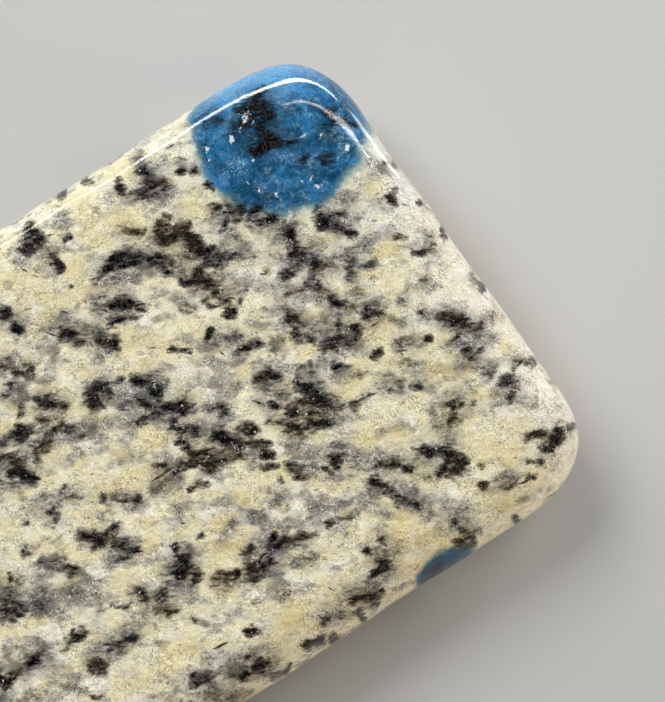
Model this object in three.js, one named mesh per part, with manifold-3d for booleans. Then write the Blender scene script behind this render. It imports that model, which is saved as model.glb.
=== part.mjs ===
// A polished tablet of white granite with round azurite stains, lying on its back face.
// Millimetres, +Z up. The origin is under the middle of the tablet, on the surface that it rests on.
// +X runs along the tablet to the end with the large azurite disc, +Y to the long side that the disc touches.
// The azurite is a stain in the rock, so the tablet is one solid: a rounded slab with small pits in its rim.
import * as THREE from "three";
import { mergeVertices } from "three/addons/utils/BufferGeometryUtils.js";
import Module from "manifold-3d";

const wasm = await Module();
wasm.setup();

// Driving dimensions, in millimetres
const LENGTH = 44;
const WIDTH = 28;
const THICKNESS = 6.5;
const CORNER_POWER = 2.4; // of the superellipse that rounds each corner in plan; 2 would be a circle
const FACE_RIM = { reach: 3.2, drop: 2.8 }; // quarter ellipse between the polished face and the wall
const BACK_RIM = { reach: 2.6, drop: 2.4 }; // the same between the wall and the back
const END_SKEW = THREE.MathUtils.degToRad(0.9); // how far the azurite end is cut off square
const FAR_END_NARROWING = 0.6; // the far end is this much narrower than WIDTH
const HAND_WAVES = [
  { height: 0.04, perX: 0.55, perY: 0.9, phase: 0 }, // the outline's unevenness from polishing by hand
  { height: 0.02, perX: 1.3, perY: -1.1, phase: 2 },
];

// The corners in plan, counter-clockwise from above. reach is how far the rounding runs along each side.
const CORNERS = [
  { name: "azurite", signX: 1, signY: 1, reach: 4.7 },
  { name: "far left", signX: -1, signY: 1, reach: 4.5 },
  { name: "far right", signX: -1, signY: -1, reach: 5.1 },
  { name: "bare", signX: 1, signY: -1, reach: 4.9 },
];

// Pits where a flake of mica has come out of the rim. Each is sunk into the surface that is nearest to x and y
// in plan, at its height; it runs along the rim, and tilt turns it from there.
const PITS = [
  { x: 22, y: 3.2, height: 4.3, long: 1.1, wide: 0.6, deep: 0.17, tilt: 10 },
  { x: 22, y: -0.6, height: 4.9, long: 0.8, wide: 0.5, deep: 0.13, tilt: -25 },
  { x: 22, y: -2.2, height: 3.8, long: 1.4, wide: 0.7, deep: 0.19, tilt: 5 },
  { x: 22, y: -7.8, height: 4.1, long: 1.2, wide: 0.6, deep: 0.17, tilt: 15 },
  { x: 4.7, y: 14, height: 4.2, long: 1.2, wide: 0.7, deep: 0.18, tilt: 0 },
  { x: 7.5, y: 14, height: 4.8, long: 0.8, wide: 0.5, deep: 0.13, tilt: 20 },
  { x: 14.8, y: 14, height: 3.9, long: 0.9, wide: 0.6, deep: 0.15, tilt: -10 },
  { x: -6.4, y: 14, height: 3.4, long: 1.3, wide: 0.7, deep: 0.19, tilt: 10 },
  { x: -15.2, y: 14, height: 4.7, long: 0.9, wide: 0.6, deep: 0.15, tilt: -15 },
  { x: -22, y: 5.1, height: 3.2, long: 1.2, wide: 0.7, deep: 0.19, tilt: 20 },
  { x: -22, y: -4.6, height: 4.6, long: 0.8, wide: 0.5, deep: 0.14, tilt: 0 },
  { x: -12.3, y: -14, height: 4.1, long: 1.1, wide: 0.6, deep: 0.17, tilt: -20 },
  { x: 3.9, y: -14, height: 2.9, long: 1.2, wide: 0.7, deep: 0.18, tilt: 5 },
  { x: 6.3, y: -14, height: 4.2, long: 1.0, wide: 0.6, deep: 0.16, tilt: 0 },
];

// How finely the solid is faceted
const STEPS = { corner: 12, longSide: 26, shortSide: 16, rim: 6 };

// One point of a corner in plan, with its outward normal. turn goes from the X side (0) to the Y side (90 degrees).
function cornerPoint({ signX, signY, reach }, turn) {
  const alongX = Math.max(Math.cos(turn), 0) ** (2 / CORNER_POWER);
  const alongY = Math.max(Math.sin(turn), 0) ** (2 / CORNER_POWER);
  const point = new THREE.Vector2(
    signX * (LENGTH / 2 - reach + reach * alongX),
    signY * (WIDTH / 2 - reach + reach * alongY),
  );
  const normal = new THREE.Vector2(
    signX * alongX ** (CORNER_POWER - 1),
    signY * alongY ** (CORNER_POWER - 1),
  ).normalize();
  return { point, normal };
}

// The rounded rectangle in plan: each corner's points, then the points of the side that leads to the next corner.
function planOutline() {
  const outline = [];
  CORNERS.forEach((corner, i) => {
    const startsAtX = corner.signX === corner.signY; // counter-clockwise, two of the corners start on an X side
    for (let k = 0; k <= STEPS.corner; k++) {
      const share = k / STEPS.corner;
      outline.push(cornerPoint(corner, (Math.PI / 2) * (startsAtX ? share : 1 - share)));
    }
    const next = CORNERS[(i + 1) % CORNERS.length];
    const sideStart = outline.at(-1);
    const sideEnd = cornerPoint(next, next.signX === next.signY ? 0 : Math.PI / 2);
    const steps = startsAtX ? STEPS.longSide : STEPS.shortSide;
    for (let k = 1; k < steps; k++) {
      outline.push({
        point: sideStart.point.clone().lerp(sideEnd.point, k / steps),
        normal: sideStart.normal.clone(),
      });
    }
  });
  return outline;
}

// Hand work: the outline's waves, the skewed end and the narrower far end.
function cutByHand(point, normal) {
  const wave = HAND_WAVES.reduce(
    (sum, w) => sum + w.height * Math.sin(w.perX * point.x + w.perY * point.y + w.phase),
    0,
  );
  const { x, y } = point.clone().addScaledVector(normal, wave);
  const fromFarEnd = x / LENGTH + 0.5;
  const fromLeftSide = 0.5 - y / WIDTH;
  return new THREE.Vector2(
    x - Math.tan(END_SKEW) * y * fromFarEnd,
    y + FAR_END_NARROWING * (1 - fromFarEnd) * fromLeftSide,
  );
}

// One point of the edge in section. It is inset from the outline, and slope is how far its normal leans up.
function sectionPoint({ reach, drop }, turn, isFace) {
  return {
    inset: reach * (1 - Math.sin(turn)),
    height: isFace ? THICKNESS - drop * (1 - Math.cos(turn)) : drop * (1 - Math.cos(turn)),
    lean: (isFace ? 1 : -1) * Math.atan2(Math.cos(turn) / drop, Math.sin(turn) / reach),
  };
}

// The edge in section, from the polished face over the wall to the back.
function edgeSection() {
  const turns = Array.from({ length: STEPS.rim + 1 }, (_, k) => (Math.PI / 2) * (k / STEPS.rim));
  return [
    ...turns.map((turn) => sectionPoint(FACE_RIM, turn, true)),
    ...turns.map((turn) => sectionPoint(BACK_RIM, turn, false)).reverse(),
  ];
}

// The edge in section at one height.
function sectionAt(height) {
  const belowFace = Math.min((THICKNESS - height) / FACE_RIM.drop, 1);
  if (belowFace < 1) return sectionPoint(FACE_RIM, Math.acos(1 - belowFace), true);
  const aboveBack = Math.min(height / BACK_RIM.drop, 1);
  return { ...sectionPoint(BACK_RIM, Math.acos(1 - aboveBack), false), height };
}

// Where a point of the outline lies on the tablet's surface.
function surfacePoint({ point, normal }, { inset, height }) {
  const cut = cutByHand(point.clone().addScaledVector(normal, -inset), normal);
  return new THREE.Vector3(cut.x, cut.y, height);
}

// The slab as rings of points, one for each step of the edge section, closed by a flat fan at face and back.
function slabGeometry(outline) {
  const rings = edgeSection().map((step) => outline.map((place) => surfacePoint(place, step)));
  const count = outline.length;
  const faceCentre = new THREE.Vector3(0, 0, THICKNESS);
  const backCentre = new THREE.Vector3(0, 0, 0);
  const vertices = [...rings.flat(), faceCentre, backCentre];
  const centreOfFace = vertices.length - 2;
  const centreOfBack = vertices.length - 1;
  const lastRing = (rings.length - 1) * count;
  const triangles = [];
  for (let i = 0; i < count; i++) {
    const next = (i + 1) % count;
    triangles.push(centreOfFace, i, next);
    triangles.push(centreOfBack, lastRing + next, lastRing + i);
    for (let ring = 0; ring < rings.length - 1; ring++) {
      const upper = ring * count;
      const lower = upper + count;
      triangles.push(upper + i, lower + i, lower + next);
      triangles.push(upper + i, lower + next, upper + next);
    }
  }
  const geometry = new THREE.BufferGeometry().setFromPoints(vertices);
  geometry.setIndex(triangles);
  return geometry;
}

// A faceted ellipsoid, centred on the rim's surface, that a pit is cut with.
function pitGeometry(outline, { x, y, height, long, wide, deep, tilt }) {
  const section = sectionAt(height);
  const target = new THREE.Vector3(x, y, height);
  const places = outline.map((place) => ({ ...place, at: surfacePoint(place, section) }));
  const nearest = places.reduce((a, b) => (a.at.distanceTo(target) < b.at.distanceTo(target) ? a : b));
  const outward = new THREE.Vector3(nearest.normal.x, nearest.normal.y, 0)
    .multiplyScalar(Math.cos(section.lean))
    .setZ(Math.sin(section.lean));
  const along = new THREE.Vector3(-nearest.normal.y, nearest.normal.x, 0);
  const up = outward.clone().cross(along);
  const geometry = new THREE.IcosahedronGeometry(1, 1);
  geometry.scale(long / 2, wide / 2, deep);
  geometry.rotateZ(THREE.MathUtils.degToRad(tilt));
  geometry.applyMatrix4(new THREE.Matrix4().makeBasis(along, up, outward).setPosition(nearest.at));
  return geometry;
}

// A three.js geometry as a manifold-3d solid.
function toSolid(geometry) {
  const bare = new THREE.BufferGeometry().setAttribute("position", geometry.getAttribute("position"));
  if (geometry.index) bare.setIndex(geometry.index);
  const merged = mergeVertices(bare, 1e-4);
  return new wasm.Manifold(
    new wasm.Mesh({
      numProp: 3,
      vertProperties: new Float32Array(merged.getAttribute("position").array),
      triVerts: new Uint32Array(merged.index.array),
    }),
  );
}

// A manifold-3d solid as a three.js geometry.
function toGeometry(solid) {
  const mesh = solid.getMesh();
  const geometry = new THREE.BufferGeometry();
  geometry.setAttribute("position", new THREE.BufferAttribute(mesh.vertProperties, 3));
  geometry.setIndex(new THREE.BufferAttribute(mesh.triVerts, 1));
  return geometry;
}

function graniteTablet() {
  const outline = planOutline();
  const pitted = PITS.reduce(
    (tablet, pit) => tablet.subtract(toSolid(pitGeometry(outline, pit))),
    toSolid(slabGeometry(outline)),
  );
  const geometry = toGeometry(pitted);
  geometry.computeBoundingBox();
  const middle = geometry.boundingBox.getCenter(new THREE.Vector3());
  geometry.translate(-middle.x, -middle.y, 0);
  const material = new THREE.MeshStandardMaterial({ color: "#d9d2b8", roughness: 0.2, metalness: 0 });
  const mesh = new THREE.Mesh(geometry, material);
  mesh.name = "granite_tablet";
  return mesh;
}

const stone = new THREE.Group();
stone.add(graniteTablet());

export default stone;
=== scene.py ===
"""The looks of a polished granite tablet with azurite: its fine mesh, its stone material and the studio."""

import math

import bpy
import numpy as np
from mathutils import Matrix, Vector


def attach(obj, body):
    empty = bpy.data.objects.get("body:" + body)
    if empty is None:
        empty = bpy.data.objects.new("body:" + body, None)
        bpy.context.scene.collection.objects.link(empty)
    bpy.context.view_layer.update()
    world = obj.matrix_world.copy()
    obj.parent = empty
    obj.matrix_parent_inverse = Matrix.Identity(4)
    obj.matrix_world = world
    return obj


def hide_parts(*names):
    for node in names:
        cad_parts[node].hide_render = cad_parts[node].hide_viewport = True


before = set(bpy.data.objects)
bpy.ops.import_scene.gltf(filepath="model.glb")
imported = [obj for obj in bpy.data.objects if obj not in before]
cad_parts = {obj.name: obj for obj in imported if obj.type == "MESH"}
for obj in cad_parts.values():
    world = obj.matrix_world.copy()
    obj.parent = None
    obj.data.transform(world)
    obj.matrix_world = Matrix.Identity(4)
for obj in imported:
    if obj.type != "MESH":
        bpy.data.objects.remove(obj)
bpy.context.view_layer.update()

MM = 0.001  # metres; lengths are in millimetres until they are handed to Blender

# Driving dimensions of the tablet, as in the CAD part
LENGTH, WIDTH, THICKNESS = 44.0, 28.0, 6.5
CORNER_POWER = 2.4
CORNER_REACH = {"azurite": 4.7, "far left": 4.5, "far right": 5.1, "bare": 4.9}
CORNER_TIGHTENING = 0.65  # how much a corner's reach shrinks with each millimetre of inset
FACE_RIM = (3.2, 2.8)  # reach and drop of the quarter ellipse at the polished face
BACK_RIM = (2.6, 2.4)
END_SKEW = math.radians(0.9)
FAR_END_NARROWING = 0.6
HAND_WAVES = [(0.04, 0.55, 0.9, 0.0), (0.02, 1.3, -1.1, 2.0)]  # height, per x, per y, phase

# Pits in the rim where a mica flake came out: x, y, height, long, wide, deep, tilt from the rim's direction
PITS = [
    (22.0, 3.2, 4.3, 1.1, 0.6, 0.17, 10),
    (22.0, -0.6, 4.9, 0.8, 0.5, 0.13, -25),
    (22.0, -2.2, 3.8, 1.4, 0.7, 0.19, 5),
    (22.0, -7.8, 4.1, 1.2, 0.6, 0.17, 15),
    (4.7, 14.0, 4.2, 1.2, 0.7, 0.18, 0),
    (7.5, 14.0, 4.8, 0.8, 0.5, 0.13, 20),
    (14.8, 14.0, 3.9, 0.9, 0.6, 0.15, -10),
    (-6.4, 14.0, 3.4, 1.3, 0.7, 0.19, 10),
    (-15.2, 14.0, 4.7, 0.9, 0.6, 0.15, -15),
    (-22.0, 5.1, 3.2, 1.2, 0.7, 0.19, 20),
    (-22.0, -4.6, 4.6, 0.8, 0.5, 0.14, 0),
    (-12.3, -14.0, 4.1, 1.1, 0.6, 0.17, -20),
    (3.9, -14.0, 2.9, 1.2, 0.7, 0.18, 5),
    (6.3, -14.0, 4.2, 1.0, 0.6, 0.16, 0),
]
PIT_RAGGEDNESS = 0.18  # how far a pit's edge strays from its ellipse, as a share of it
PIT_ZONE = 0.5  # how far above or below a pit's centre the surface can be sunk

# How finely the mesh is cut
FACE_STEPS = (312, 208, 32)  # steps along X, steps along Y, and how many of them the rim takes
WALL_STEPS = 6
CORNER_STEPS = 120  # of a corner's curve in plan, before it is cut into the mesh's steps
RIM_STEPS = 2000  # of a rim's curve in section, likewise
WAVE_RINGS = 20  # rings of the flat over which the waves of the outline fade
CORNER_FADE = 3.0  # how far into the flat its rings keep the rim's rounded corners

# The azurite: ball-shaped stains in the rock, as centre and radius
AZURITE = [((17.17, 9.72, 4.5), 5.03), ((11.95, -13.8, 4.4), 1.85), ((-14.5, -6.5, 0.4), 3.3)]
AZURITE_PAINTED_HIGHLIGHT_CENTRE = (17.8, 13.4, 5.0)  # where a highlight is painted on the large stain: it is palest there, by its lit rim

# The camera in the tablet's frame, worked out from the photo's outline
CAMERA_AT = np.array([7.549, -9.941, 73.306])
CAMERA_RIGHT = Vector((0.83322, -0.55294, 0.0))
CAMERA_UP = Vector((0.54668, 0.82379, 0.15))
CAMERA_LENS = 68.4
SENSOR = 36

# Marks on the polished face, as seen from the camera on the plane of the face: x, y, long, wide, turn
BLACK_MICA = [
    (3.4, 11.6, 1.0, 0.5, -15), (3.75, 12.15, 0.5, 0.3, 80), (4.35, 11.55, 0.7, 0.16, -28),
    (2.35, 10.75, 0.6, 0.18, -68), (2.6, 10.15, 0.5, 0.16, -52), (3.97, 10.05, 0.75, 0.2, -80),
    (5.1, 10.87, 0.3, 0.16, -35), (8.78, 11.8, 0.75, 0.26, -80), (10.2, 11.45, 1.1, 0.34, 88),
    (10.25, 10.65, 1.35, 0.45, -8), (0.35, 9.3, 0.55, 0.32, -25), (0.55, 8.4, 0.55, 0.35, -60),
    (5.85, 8.45, 1.1, 0.34, -4), (6.75, 8.4, 1.3, 0.6, -14), (7.5, 8.05, 0.9, 0.3, -12),
    (5.05, 8.38, 0.6, 0.16, -10), (8.0, 9.32, 0.4, 0.2, -25), (8.42, 9.1, 0.4, 0.15, 40),
    (2.95, 7.65, 0.6, 0.18, -60), (1.75, 7.1, 0.7, 0.18, -48), (2.4, 6.75, 0.8, 0.45, -30),
    (2.75, 6.15, 1.0, 0.36, -50), (3.12, 5.6, 0.6, 0.18, -80), (3.82, 5.3, 1.05, 0.36, -62),
    (4.2, 5.12, 0.55, 0.3, -5), (3.68, 4.7, 0.5, 0.16, -65), (4.65, 6.6, 0.8, 0.18, -50),
    (5.55, 6.45, 0.95, 0.42, -22), (6.05, 5.92, 0.65, 0.24, -32), (-0.75, 6.4, 1.1, 0.22, -50),
    (-0.05, 6.1, 0.4, 0.2, -45), (-1.75, 5.7, 0.5, 0.22, -40), (-1.35, 5.95, 0.3, 0.18, 0),
    (-1.53, 4.7, 0.55, 0.2, 85), (-0.4, 4.55, 0.75, 0.28, -50), (-0.1, 3.85, 1.2, 0.36, -45),
    (2.15, 3.3, 1.3, 0.5, -8), (3.45, 3.22, 0.35, 0.16, 0), (8.15, 7.2, 1.1, 0.34, -72),
    (8.42, 6.6, 0.5, 0.2, -70), (9.4, 8.6, 0.85, 0.36, -62), (9.75, 8.05, 1.5, 0.42, -8),
    (10.25, 7.3, 1.8, 0.42, -82), (10.75, 6.25, 1.1, 0.34, -28), (10.55, 5.72, 1.1, 0.2, -32),
    (9.55, 5.2, 1.0, 0.4, -52), (8.85, 5.55, 0.7, 0.2, -55), (9.25, 4.12, 0.35, 0.22, -20),
    (9.82, 4.3, 0.4, 0.24, 60), (10.35, 3.58, 0.9, 0.15, -38), (10.65, 3.35, 0.22, 0.2, 0),
    (11.8, 10.75, 0.3, 0.16, 80), (12.32, 10.35, 0.35, 0.2, 30), (12.65, 9.25, 0.26, 0.2, 20),
    (12.15, 7.75, 0.55, 0.24, -10), (13.0, 7.42, 0.9, 0.32, -26), (12.2, 7.2, 0.4, 0.2, 30),
    (11.82, 6.9, 0.26, 0.18, 0), (13.72, 6.4, 0.85, 0.2, -60), (14.25, 5.85, 0.55, 0.26, -40),
    (14.6, 4.3, 1.1, 0.4, 85), (14.4, 3.8, 0.9, 0.46, 75), (14.85, 3.1, 1.3, 0.46, -72),
    (16.6, 4.5, 0.9, 0.42, -66), (16.72, 4.1, 0.8, 0.5, -30), (17.55, 3.95, 0.5, 0.18, -40),
    (17.4, 3.1, 0.7, 0.2, -48), (13.4, 3.3, 0.7, 0.18, 8), (13.85, 3.0, 0.5, 0.18, -5),
    (20.15, 3.65, 0.45, 0.26, -50), (20.0, 3.3, 0.4, 0.18, -80), (20.5, 2.75, 0.5, 0.16, -35),
    (16.85, 11.65, 1.35, 0.6, 24), (17.1, 10.75, 1.1, 0.55, 62), (16.05, 11.35, 0.75, 0.26, 72),
    (16.2, 9.35, 1.5, 0.3, -22), (17.1, 8.93, 1.1, 0.2, -28), (16.5, 10.0, 0.8, 0.36, 68),
    (20.12, 8.7, 1.3, 0.24, -64), (18.4, 7.15, 0.5, 0.28, 5), (17.72, 7.7, 0.3, 0.18, 30),
    (-2.6, 3.72, 1.2, 0.28, -8), (-3.45, 2.9, 0.6, 0.28, -30), (-3.35, 2.05, 0.9, 0.42, -20),
    (-3.1, 1.5, 0.75, 0.34, -55), (-0.5, 2.72, 0.85, 0.32, -12), (-0.1, 2.45, 0.6, 0.36, -60),
    (-2.15, 2.2, 0.45, 0.24, 50), (0.4, 1.9, 0.3, 0.18, -20), (4.3, 2.6, 0.95, 0.42, -24),
    (4.55, 1.75, 0.9, 0.36, 86), (4.4, 0.9, 1.0, 0.45, -10), (4.95, 0.5, 1.0, 0.36, -38),
    (3.45, 0.78, 0.9, 0.2, 4), (4.62, -0.1, 0.6, 0.22, 82), (4.85, -0.8, 0.8, 0.28, -58),
    (4.28, -1.2, 0.4, 0.2, -40), (-3.15, -0.45, 0.5, 0.2, -30), (-3.0, -1.0, 0.4, 0.22, -10),
    (-4.35, -0.22, 0.4, 0.16, 14), (-1.8, 0.2, 0.34, 0.2, 0), (-5.15, -1.6, 0.24, 0.2, 0),
    (-7.0, -3.45, 1.1, 0.5, -8), (-4.2, -2.6, 0.8, 0.18, -18), (-3.7, -3.62, 0.45, 0.22, -10),
    (-2.05, -2.55, 0.75, 0.3, -30), (-1.35, -2.88, 0.95, 0.2, -4), (-0.65, -4.1, 1.0, 0.36, -35),
    (-1.25, -4.35, 0.8, 0.2, -10), (0.0, -1.75, 0.55, 0.18, -45), (0.78, -2.42, 0.36, 0.22, -10),
    (-0.35, -1.3, 0.3, 0.16, -60), (2.85, -2.02, 1.9, 0.18, -2), (3.45, -2.12, 0.9, 0.26, -4),
    (6.2, -2.0, 0.95, 0.46, -58), (5.85, -1.9, 0.6, 0.24, 10), (6.5, -2.65, 1.2, 0.34, -38),
    (6.9, -3.25, 1.3, 0.28, -34), (7.55, -3.6, 0.6, 0.2, -38), (6.7, -0.85, 0.75, 0.3, -44),
    (8.4, 2.6, 0.4, 0.22, 0), (8.45, 1.5, 0.55, 0.18, -65), (6.5, 3.05, 0.4, 0.18, -10),
    (6.85, 2.7, 0.3, 0.16, -30), (10.1, 0.85, 0.48, 0.32, -35), (9.5, 1.05, 0.5, 0.2, -20),
    (10.8, 0.28, 0.36, 0.16, -34), (9.95, 3.0, 0.4, 0.26, 30), (10.05, -0.9, 0.7, 0.28, -62),
    (9.6, -0.72, 0.7, 0.2, -5), (10.0, -1.3, 0.5, 0.16, -30), (8.6, -1.65, 0.85, 0.17, -58),
    (9.15, -2.15, 0.3, 0.15, -55), (10.78, -1.85, 0.34, 0.28, 0), (10.9, -2.5, 1.0, 0.34, -76),
    (10.15, -2.75, 1.4, 0.22, -22), (11.25, -3.2, 1.1, 0.62, -52), (11.5, -3.95, 1.0, 0.34, -32),
    (9.4, -3.6, 0.95, 0.42, -24), (8.75, -2.8, 0.7, 0.2, -38), (10.0, -3.95, 1.2, 0.26, -2),
    (10.75, -3.8, 0.5, 0.3, 0), (11.4, -1.42, 0.34, 0.16, -40), (11.68, -1.62, 0.28, 0.18, 0),
    (12.25, 1.15, 0.6, 0.34, 60), (12.75, 1.08, 0.6, 0.16, -26), (12.4, 0.82, 0.3, 0.2, -40),
    (12.2, 0.1, 0.55, 0.3, -22), (12.62, -0.32, 0.6, 0.24, -48), (13.3, -1.15, 1.0, 0.38, -14),
    (14.0, -1.4, 0.9, 0.32, -14), (14.65, -1.25, 0.6, 0.18, -10), (14.2, -0.52, 0.36, 0.3, 0),
    (14.15, 1.85, 0.75, 0.36, -60), (14.8, 0.55, 0.8, 0.28, -62), (16.3, 1.6, 0.66, 0.46, 78),
    (17.25, 1.15, 0.4, 0.2, -30), (16.9, 1.35, 0.3, 0.18, 0), (19.4, 1.72, 0.7, 0.17, -40),
    (15.85, -1.15, 0.9, 0.2, -8), (15.75, -1.5, 0.75, 0.16, 4), (15.5, -0.85, 0.3, 0.18, -20),
    (12.9, -2.25, 0.45, 0.2, -34), (15.0, -2.85, 0.4, 0.22, -10), (16.08, -3.5, 0.55, 0.15, -38),
    (17.42, -3.62, 0.28, 0.16, -20), (18.7, -3.1, 0.6, 0.28, -40), (19.25, -3.7, 0.9, 0.3, -52),
    (19.65, -4.45, 1.0, 0.46, -60), (18.92, -5.2, 0.26, 0.22, 0), (19.0, -5.68, 0.6, 0.2, -10),
    (19.5, -5.6, 0.4, 0.18, 20), (12.6, -4.4, 0.4, 0.18, 0), (13.7, -4.42, 0.5, 0.18, -30),
    (14.5, -4.8, 0.24, 0.18, 0), (15.8, -5.4, 0.36, 0.16, -40), (0.9, -6.4, 1.0, 0.6, 12),
    (1.1, -5.42, 0.32, 0.18, 10), (1.4, -7.3, 0.5, 0.22, -20), (-1.5, -6.4, 0.85, 0.26, -62),
    (-0.6, -7.2, 0.7, 0.36, 12), (-0.5, -7.9, 0.75, 0.32, -6), (-7.5, -6.3, 0.9, 0.4, -4),
    (-3.75, -7.8, 0.8, 0.28, -30), (-3.1, -7.9, 0.9, 0.22, 6), (-5.05, -7.95, 0.8, 0.3, 4),
    (-4.9, -8.35, 0.5, 0.26, -40), (2.55, -8.0, 1.1, 0.3, -14), (3.9, -7.72, 0.5, 0.36, -20),
    (3.8, -8.5, 0.9, 0.5, 72), (5.45, -7.7, 0.45, 0.22, 20), (5.25, -8.2, 1.1, 0.26, -16),
    (4.25, -8.15, 0.6, 0.26, 10), (6.4, -8.2, 0.9, 0.2, -16), (0.5, -10.62, 0.95, 0.17, -14),
    (2.15, -10.98, 0.4, 0.18, -20), (-1.1, -11.4, 0.9, 0.36, -30), (0.65, -12.48, 0.4, 0.2, 0),
    (1.7, -12.4, 0.6, 0.36, -8), (2.1, -13.2, 0.5, 0.18, -20), (2.6, -13.45, 0.3, 0.18, 0),
    (4.45, -13.0, 0.75, 0.22, -14), (5.25, -13.42, 0.36, 0.17, 0), (6.95, -13.15, 0.4, 0.26, 70),
    (7.45, -12.45, 0.9, 0.4, -34), (7.85, -12.9, 0.6, 0.3, -60), (8.9, -11.95, 0.8, 0.24, 8),
    (5.35, -12.3, 0.6, 0.17, -78), (6.55, -11.4, 0.5, 0.17, -62), (8.35, -5.3, 0.6, 0.3, -52),
    (2.62, -5.6, 0.32, 0.15, -6), (7.42, -5.55, 0.18, 0.15, 0), (6.95, -4.4, 0.5, 0.15, -40),
    (10.25, -6.15, 0.75, 0.3, -40), (11.9, -7.5, 0.42, 0.28, -20), (12.85, -8.55, 0.4, 0.18, -20),
    (11.38, -8.5, 0.9, 0.3, -60), (11.62, -9.2, 1.0, 0.3, -60), (12.2, -9.95, 1.1, 0.19, -62),
    (13.95, -8.2, 0.7, 0.34, 10), (14.4, -8.6, 0.6, 0.2, -30), (15.2, -9.1, 0.75, 0.38, -72),
    (14.6, -9.6, 0.9, 0.34, 12), (15.5, -9.7, 0.45, 0.18, -34), (16.6, -7.1, 0.35, 0.2, 10),
    (16.55, -7.52, 1.1, 0.16, 2), (17.55, -7.75, 0.36, 0.16, -20), (19.65, -7.75, 0.5, 0.34, -30),
    (19.9, -8.3, 0.5, 0.18, -74), (20.7, -7.25, 0.8, 0.17, 22), (21.2, -7.45, 0.36, 0.18, 20),
    (19.5, -10.7, 0.6, 0.2, -30), (20.15, -11.3, 0.8, 0.4, -12), (15.68, -11.35, 0.55, 0.22, -40),
    (17.9, -12.4, 0.36, 0.15, -30), (13.6, -12.45, 0.8, 0.28, -72), (13.72, -13.1, 0.5, 0.2, 84),
    (13.1, -13.1, 0.5, 0.26, -20), (9.3, -11.8, 0.55, 0.34, 50), (9.05, -10.85, 0.5, 0.2, -72),
    (10.0, -10.75, 0.4, 0.17, 60), (11.3, -13.45, 0.7, 0.3, -8), (16.0, -13.5, 0.22, 0.16, 0),
    (6.0, 12.97, 0.26, 0.15, 0), (7.5, 12.95, 0.3, 0.16, 0), (21.3, 0.35, 0.34, 0.2, 70),
    (21.35, 2.45, 0.3, 0.18, -60), (21.3, -2.9, 0.36, 0.17, 80), (20.95, -11.35, 0.24, 0.18, 0),
    (15.3, -9.7, 0.6, 0.3, -10), (5.2, -2.5, 0.8, 0.3, -30), (-9.8, -5.9, 0.9, 0.4, -10),
    (14.7, -1.1, 0.5, 0.24, -14), (4.9, -2.75, 1.2, 0.3, -24), (5.7, -3.0, 0.9, 0.26, -30),
    (4.3, -1.75, 0.7, 0.26, -50), (7.5, -2.2, 0.5, 0.22, -30), (13.6, 3.15, 1.0, 0.28, 10),
    (9.75, 5.75, 0.5, 0.24, -30), (8.25, 6.75, 0.5, 0.3, -60), (9.75, 3.8, 0.5, 0.28, -40),
    (13.95, 6.75, 0.4, 0.24, -40), (1.8, 2.9, 0.5, 0.24, -20), (-1.9, 3.8, 0.6, 0.3, -30),
    (-1.9, -3.2, 0.7, 0.3, -30), (7.6, -4.15, 0.7, 0.24, -40), (14.9, -10.0, 0.7, 0.3, 10),
    (19.6, 0.3, 0.4, 0.2, -20), (12.2, 8.1, 0.4, 0.24, 0), (17.3, 4.3, 0.8, 0.36, -40),
    (11.2, 5.6, 0.9, 0.3, -30), (8.6, 7.3, 0.9, 0.36, -60), (7.4, -2.5, 0.8, 0.3, -30),
    (9.5, -3.1, 0.8, 0.3, -20), (5.6, -2.7, 0.8, 0.3, -30), (2.8, 6.0, 0.7, 0.3, -50),
    (4.9, 5.9, 0.8, 0.3, -40), (3.8, 1.3, 0.7, 0.3, -20), (16.3, -7.6, 0.7, 0.2, 0),
    (4.6, -8.6, 0.8, 0.3, -10), (10.8, -4.3, 0.8, 0.26, -10), (19.4, -11.5, 0.6, 0.26, -20),
    (-5.4, -6.4, 0.8, 0.3, -10), (-9.4, -6.2, 0.9, 0.4, -10),
]
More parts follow.
